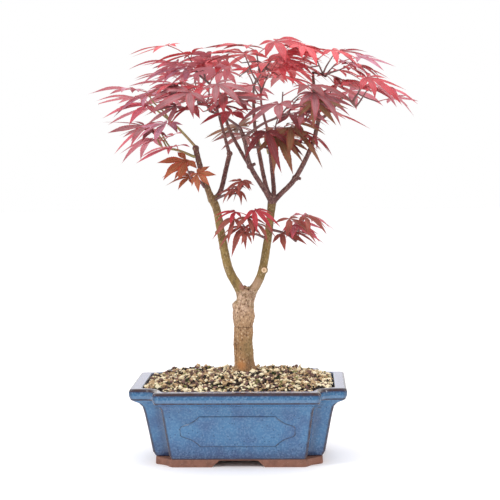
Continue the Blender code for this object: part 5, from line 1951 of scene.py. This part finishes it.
@dataclass
class Crown:
    """One mass of foliage: stem, shoots, side twigs, stalks and leaves, grown by the seeded rule."""

    mass: Mass
    line: Line
    growth: Growth
    heaps: "Foliage"

    def __post_init__(self) -> None:
        """Start with no shoots, one seed for the places and one for the looks."""
        self.random = random.Random(self.mass.seed)
        self.looks = random.Random(self.mass.seed + 500)
        self.centre = Vector(in_metres(*self.mass.centre))
        self.reach = in_metres(*self.mass.reach)
        self.sprays: list[Spray] = []
        self.thinned = False

    def share_of_space(self, points: Iterable[Vector]) -> float:
        """How far out the points reach in the mass's space, where 1 is its boundary."""
        return max(sum(((point[axis] - self.centre[axis]) / self.reach[axis]) ** RULE.space_power
                       for axis in range(3)) for point in points)

    def add_twig(self, knots: Sequence[tuple[Vector, float]]) -> None:
        """Add a twig through these places with their radii."""
        line = smooth_line(knots, RULE.twig_step)
        self.heaps.twigs[self.mass.green_stem].add(*ring_tube(line, 7, closed=False))

    def grow_stem(self) -> None:
        """Grow the stem, in two internodes from the bough to the low middle of the space."""
        hub = self.centre - Vector((0.0, 0.0, RULE.hub_drop * self.reach[2]))
        start = stem_start(self.line, self.mass.along, hub)
        side = Vector((self.random.uniform(-1, 1), self.random.uniform(-1, 1), RULE.stem_bend_rise))
        self.nodes = [start, start.lerp(hub, 0.5) + side * RULE.stem_bend, hub]
        self.heading = math.atan2(hub.y - start.y, hub.x - start.x)
        radii = (RULE.stem_radius, (RULE.stem_radius + RULE.shoot_radius) / 2, RULE.shoot_radius)
        for number in range(2):
            guard = cone_guard(self.nodes[number], self.nodes[number + 1], radii[number] + RULE.clear,
                               radii[number + 1] + RULE.clear)
            self.growth.add(self.mass.name, *guard)
        anchor = point_along(self.line, min(self.mass.along, 0.985))[0].lerp(start, 0.35)
        places = (anchor, start, self.sink(self.nodes[1]), self.sink(hub))
        self.add_twig(list(zip(places, RULE.drawn_stem)))

    def sink(self, point: Vector) -> Vector:
        """Lower a place by what the mass hangs lower than its space, less near the stem's foot.

        Args:
            point: the place.

        Returns:
            Where it is drawn.
        """
        foot, hub = self.nodes[0], self.nodes[2]
        share = min(1.0, (point - foot).length / (hub - foot).length)
        return point - Vector((0.0, 0.0, self.mass.sunk / 1000 * share))

    def grow_shoots(self) -> None:
        """Grow shoots that fan out from the stem's end and from below it."""
        bend, hub = self.nodes[1:]
        middle = (self.mass.shoots - 1) / 2
        order = sorted(range(self.mass.shoots), key=lambda number: abs(number - middle))
        room = [max(RULE.shortest_shoot, reach - RULE.blade_room * self.mass.leaf_scale)
                for reach in self.reach[:2]]
        for rank, number in enumerate(order):
            heading = self.heading + (number - middle) * RULE.shoot_fan
            heading += self.random.uniform(-RULE.shoot_wander, RULE.shoot_wander)
            root = hub.lerp(bend, RULE.shoot_spacing * rank)
            rise = self.random.uniform(0.0, RULE.shoot_rise) * self.reach[2]
            end = self.centre + Vector((math.cos(heading) * room[0], math.sin(heading) * room[1], rise))
            guard = cone_guard(root, end, RULE.shoot_radius + RULE.clear, RULE.stalk_radius + RULE.clear)
            if not self.growth.touches(*guard, ignored=self.mass.name):
                self.growth.add(self.mass.name, *guard)
                tint = self.mass.tints[number % len(self.mass.tints)]
                self.sprays.append(Spray(root, end, heading, tint))
                self.add_wavy_twig(root, end, *RULE.drawn_shoot)

    def add_wavy_twig(self, root: Vector, end: Vector, root_radius: float, end_radius: float) -> None:
        """Add a slightly zigzag twig between two places.

        Args:
            root: its foot.
            end: its tip.
            root_radius: radius at the foot.
            end_radius: radius at the tip.
        """
        root, end = self.sink(root), self.sink(end)
        knots = [(root, root_radius)]
        for share in (0.33, 0.66):
            off = Vector([self.looks.uniform(-1, 1) for _ in range(3)]) * (end - root).length * RULE.waver
            knots.append((root.lerp(end, share) + off, root_radius + (end_radius - root_radius) * share))
        self.add_twig([*knots, (end, end_radius)])

    def grow_leaves(self) -> None:
        """Grow a leaf at each shoot's tip, pairs at its nodes, and a pair at the stem's bend."""
        for spray in self.sprays:
            self.grow_leaf(spray.end, spray.heading, 0.0, spray.tint)
        self.thinned = True
        for spray in self.sprays:
            for share, spread in RULE.pairs:
                self.grow_pair(spray.root.lerp(spray.end, share), spray.heading, spread, spray.tint)
        self.grow_pair(self.nodes[1], self.heading, RULE.bend_leaf_spread, self.mass.tints[0])

    def grow_pair(self, node: Vector, heading: float, spread: float, tint: Tint) -> None:
        """Grow a pair of leaves, one to each side of a shoot."""
        for side in (-1, 1):
            self.grow_leaf(node, heading, side * math.radians(spread), tint)

    def grow_leaf(self, node: Vector, heading: float, spread: float, tint: Tint) -> None:
        """Grow a leaf on the longest stalk that keeps it in the space and clear of all that stands.

        Args:
            node: where its stalk starts.
            heading: the shoot's heading.
            spread: angle of the stalk from the shoot.
            tint: the leaf's colour.
        """
        lift = self.random.uniform(*RULE.stalk_rises)
        scale = self.random.uniform(*RULE.leaf_sizes) * self.mass.leaf_scale
        pitch = math.radians(self.random.uniform(*RULE.leaf_pitches))
        roll = math.radians(self.random.uniform(*RULE.leaf_rolls))
        self.try_leaf(node, heading + spread, lift, scale, pitch, roll, tint, RULE.clear)

    def try_leaf(self, node: Vector, heading: float, lift: float, scale: float, pitch: float, roll: float,
                 tint: Tint, clear: float) -> bool:
        """Try one leaf at each turn and stalk length until it fits.

        Args:
            node: where its stalk starts.
            heading: the stalk's heading.
            lift: how steeply the stalk rises.
            scale: the leaf's size.
            pitch: how far its tip is tilted down.
            roll: its sideways tilt.
            tint: its colour.
            clear: the clearance that it keeps.

        Returns:
            True if the leaf fits.
        """
        for turn in RULE.turns_tried:
            aim = heading + math.radians(turn)
            way = Vector((math.cos(aim), math.sin(aim), lift)).normalized()
            for length in RULE.stalk_lengths:
                end = node + way * length * self.mass.leaf_scale
                spin = Matrix.Rotation(aim, 4, "Z") @ Matrix.Rotation(pitch, 4, "Y")
                place = Matrix.Translation(end) @ (spin @ Matrix.Rotation(roll, 4, "X"))
                guard = LEAF.guard(place, scale, clear)
                if self.share_of_space(guard[0]) > 1.0 or self.growth.touches(*guard):
                    continue
                stalk = cone_guard(node, end, RULE.stalk_radius + clear, RULE.stalk_radius + clear)
                if self.growth.touches(*stalk, ignored=self.mass.name):
                    continue
                self.growth.add(self.mass.name + " leaf", *guard)
                self.growth.add(self.mass.name, *stalk)
                self.draw_leaf(node, end, place, scale, tint)
                return True
        return False

    def draw_leaf(self, node: Vector, end: Vector, place: Matrix, scale: float, tint: Tint) -> None:
        """Draw a leaf and its stalk.

        Args:
            node: where the stalk starts.
            end: where the leaf starts.
            place: the leaf's frame.
            scale: its size.
            tint: its colour.
        """
        if self.thinned and self.looks.random() > self.mass.kept:
            return
        node, end = self.sink(node), self.sink(end)
        across, deep = (end[axis] - RULE.crown_middle[axis] for axis in range(2))
        lean = RULE.lean * max(-0.3, min(1.0, -deep / RULE.lean_reach)) + self.mass.lean
        sideways = RULE.sideways * max(-1.0, min(1.0, across / RULE.sideways_reach))
        tilt = Matrix.Rotation(lean + self.looks.uniform(-1, 1) * RULE.lean_spread, 4, "X")
        tilt @= Matrix.Rotation(sideways + self.looks.uniform(-1, 1) * RULE.lean_spread, 4, "Y")
        turned = self.turned_outward(place, scale).to_3x3().to_4x4()
        leant = Matrix.Translation(end) @ tilt @ turned @ Matrix.Rotation(-RULE.tip_raised, 4, "Y")
        droop = self.looks.uniform(*self.mass.droop)
        LEAF.draw(self.heaps.leaves(tint), leant, scale * self.mass.drawn, droop, self.mass.broad,
                  self.looks)
        sag = Vector((0.0, 0.0, 1.0)) * (end - node).length * self.looks.uniform(*RULE.stalk_sag)
        knots = list(zip((node, node.lerp(end, 0.5) + sag, end), RULE.drawn_stalk))
        self.heaps.stalks.add(*ring_tube(smooth_line(knots, RULE.stalk_step), 5, closed=False))

    def turned_outward(self, place: Matrix, scale: float) -> Matrix:
        """Turn a leaf away from the crown's middle, as far as it stays in the space.

        Args:
            place: the leaf's frame.
            scale: its size.

        Returns:
            Its new frame.
        """
        aim = place.col[0]
        middle = RULE.crown_middle
        wanted = math.atan2((place.translation.y - middle[1]) * RULE.outward_depth,
                            place.translation.x - middle[0])
        turn = (wanted - math.atan2(aim.y, aim.x) + math.pi) % math.tau - math.pi
        for share in RULE.outward_shares:
            spin = Matrix.Rotation(turn * share, 4, "Z") @ place.to_3x3().to_4x4()
            turned = Matrix.Translation(place.translation) @ spin
            if self.share_of_space(LEAF.guard(turned, scale, 0.0)[0]) <= 1.0:
                return turned
        return place

    def carry_on(self) -> None:
        """Grow finer side twigs with smaller leaves into the gaps that are left."""
        for spray in self.sprays:
            for side in (-1, 1):
                if self.looks.random() > RULE.side_chance * self.mass.kept ** 3:
                    continue
                root = spray.root.lerp(spray.end, RULE.side_share)
                spread = RULE.side_spread + self.looks.uniform(-RULE.side_turn, RULE.side_turn)
                heading = spray.heading + side * math.radians(spread)
                length = self.looks.uniform(*RULE.side_lengths) * self.mass.leaf_scale
                rise = self.looks.uniform(*RULE.side_rises)
                way = Vector((math.cos(heading), math.sin(heading), rise)).normalized()
                self.grow_side_twig(root, root + way * length, heading, spray.tint)

    def grow_side_twig(self, root: Vector, end: Vector, heading: float, tint: Tint) -> None:
        """Grow one side twig with a leaf at its tip and a pair behind it, where any of them fits.

        Args:
            root: its foot.
            end: its tip.
            heading: its heading.
            tint: the colour of its leaves.
        """
        grown = 0
        for at, spread in ((end, 0.0), (root.lerp(end, 0.7), 75.0), (root.lerp(end, 0.7), -75.0)):
            if spread and self.looks.random() > RULE.side_pair_chance:
                continue
            lift = self.looks.uniform(*RULE.side_lifts)
            scale = self.looks.uniform(*RULE.side_leaf_sizes) * self.mass.leaf_scale
            pitch = math.radians(self.looks.uniform(*RULE.side_pitches))
            roll = math.radians(self.looks.uniform(-RULE.side_roll, RULE.side_roll))
            aim = heading + math.radians(spread)
            grown += self.try_leaf(at, aim, lift, scale, pitch, roll, tint, RULE.side_clear)
        if grown:
            self.add_wavy_twig(root, end, *RULE.drawn_side)


@dataclass
class Foliage:
    """All masses of foliage, with their leaves joined by tint, and their twigs and stalks."""

    guard_step: float = 0.016

    def __post_init__(self) -> None:
        """Start with empty meshes."""
        self.by_tint: dict[Tint, MeshParts] = {}
        self.twigs = {False: MeshParts("shoots"), True: MeshParts("young_shoots")}
        self.stalks = MeshParts("leaf_stalks")
        self.drawn = 0

    def leaves(self, tint: Tint) -> MeshParts:
        """The mesh of one tint's leaves, to which a leaf is about to be added."""
        self.drawn += 1
        return self.by_tint.setdefault(tint, MeshParts(tint.name.lower() + "_leaves"))

    def guard_limbs(self, growth: Growth) -> dict[str, Line]:
        """Note the limbs as standing.

        Args:
            growth: all that stands.

        Returns:
            The limbs' lines, as coarse as in the part's source.
        """
        lines = {}
        for limb in LIMBS:
            line = limb.line[1:] if limb.bark is Bark.TRUNK else limb.line
            lines[limb.name] = smooth_line(line, self.guard_step)
            wider = [(place, radius + RULE.clear) for place, radius in lines[limb.name]]
            points, faces = ring_tube(wider, 12)
            growth.add(limb.name, [Vector(point) for point in points], faces)
        return lines

    def grow(self) -> None:
        """Grow every mass, first by the source's rule and then on into finer twigs."""
        growth = Growth()
        lines = self.guard_limbs(growth)
        crowns = [Crown(mass, lines[mass.limb], growth, self) for mass in MASSES]
        for crown in crowns:
            crown.grow_stem()
        for crown in crowns:
            crown.grow_shoots()
        for crown in crowns:
            crown.grow_leaves()
        log.info("foliage: %d leaves by the source's rule", self.drawn)
        for crown in crowns:
            crown.carry_on()
        log.info("foliage: %d leaves in all", self.drawn)

    @staticmethod
    def twig_finish(name: str, light: Colour, dark: Colour) -> Material:
        """Make the finish of thin twigs or stalks.

        Args:
            name: name of the material.
            light: its light tone.
            dark: its dark tone.

        Returns:
            The material.
        """
        shader = Shader(name, 0.48)
        tone = shader.effect("mottle", Low_Tone=dark, High_Tone=light, Scale=130.0, Sharpness=0.25)["Color"]
        shader.set(Base_Color=tone)
        shader.roughen(0.0001, Scale=600.0, Grain_Scale=2400.0)
        return shader.material

    def build(self) -> None:
        """Grow the crown and make its pieces."""
        self.grow()
        shoots = self.twig_finish("shoot_bark", (0.21, 0.1, 0.09), (0.11, 0.048, 0.048))
        young = self.twig_finish("young_shoot", (0.33, 0.33, 0.11), (0.26, 0.17, 0.08))
        stalk = self.twig_finish("leaf_stalk", (0.56, 0.12, 0.12), (0.34, 0.05, 0.055))
        dress(self.twigs[False].build([shoots]), "twig_bark")
        dress(self.twigs[True].build([young]), "twig_bark")
        dress(self.stalks.build([stalk]), "leaves")
        nodes = [mass.name for mass in MASSES]
        for tint, parts in self.by_tint.items():
            dress(parts.build([tint.finish()], mapped=True), "leaves", nodes)


def main() -> None:
    """Build the studio and every part of the plant, and note the sizes."""
    logging.basicConfig(level=logging.INFO, format="%(name)s %(message)s")
    Effects()
    for part in (Studio(), Pot(), SoilBed(), Wood(), Foliage()):
        part.build()


if __name__ == "__main__":
    main()
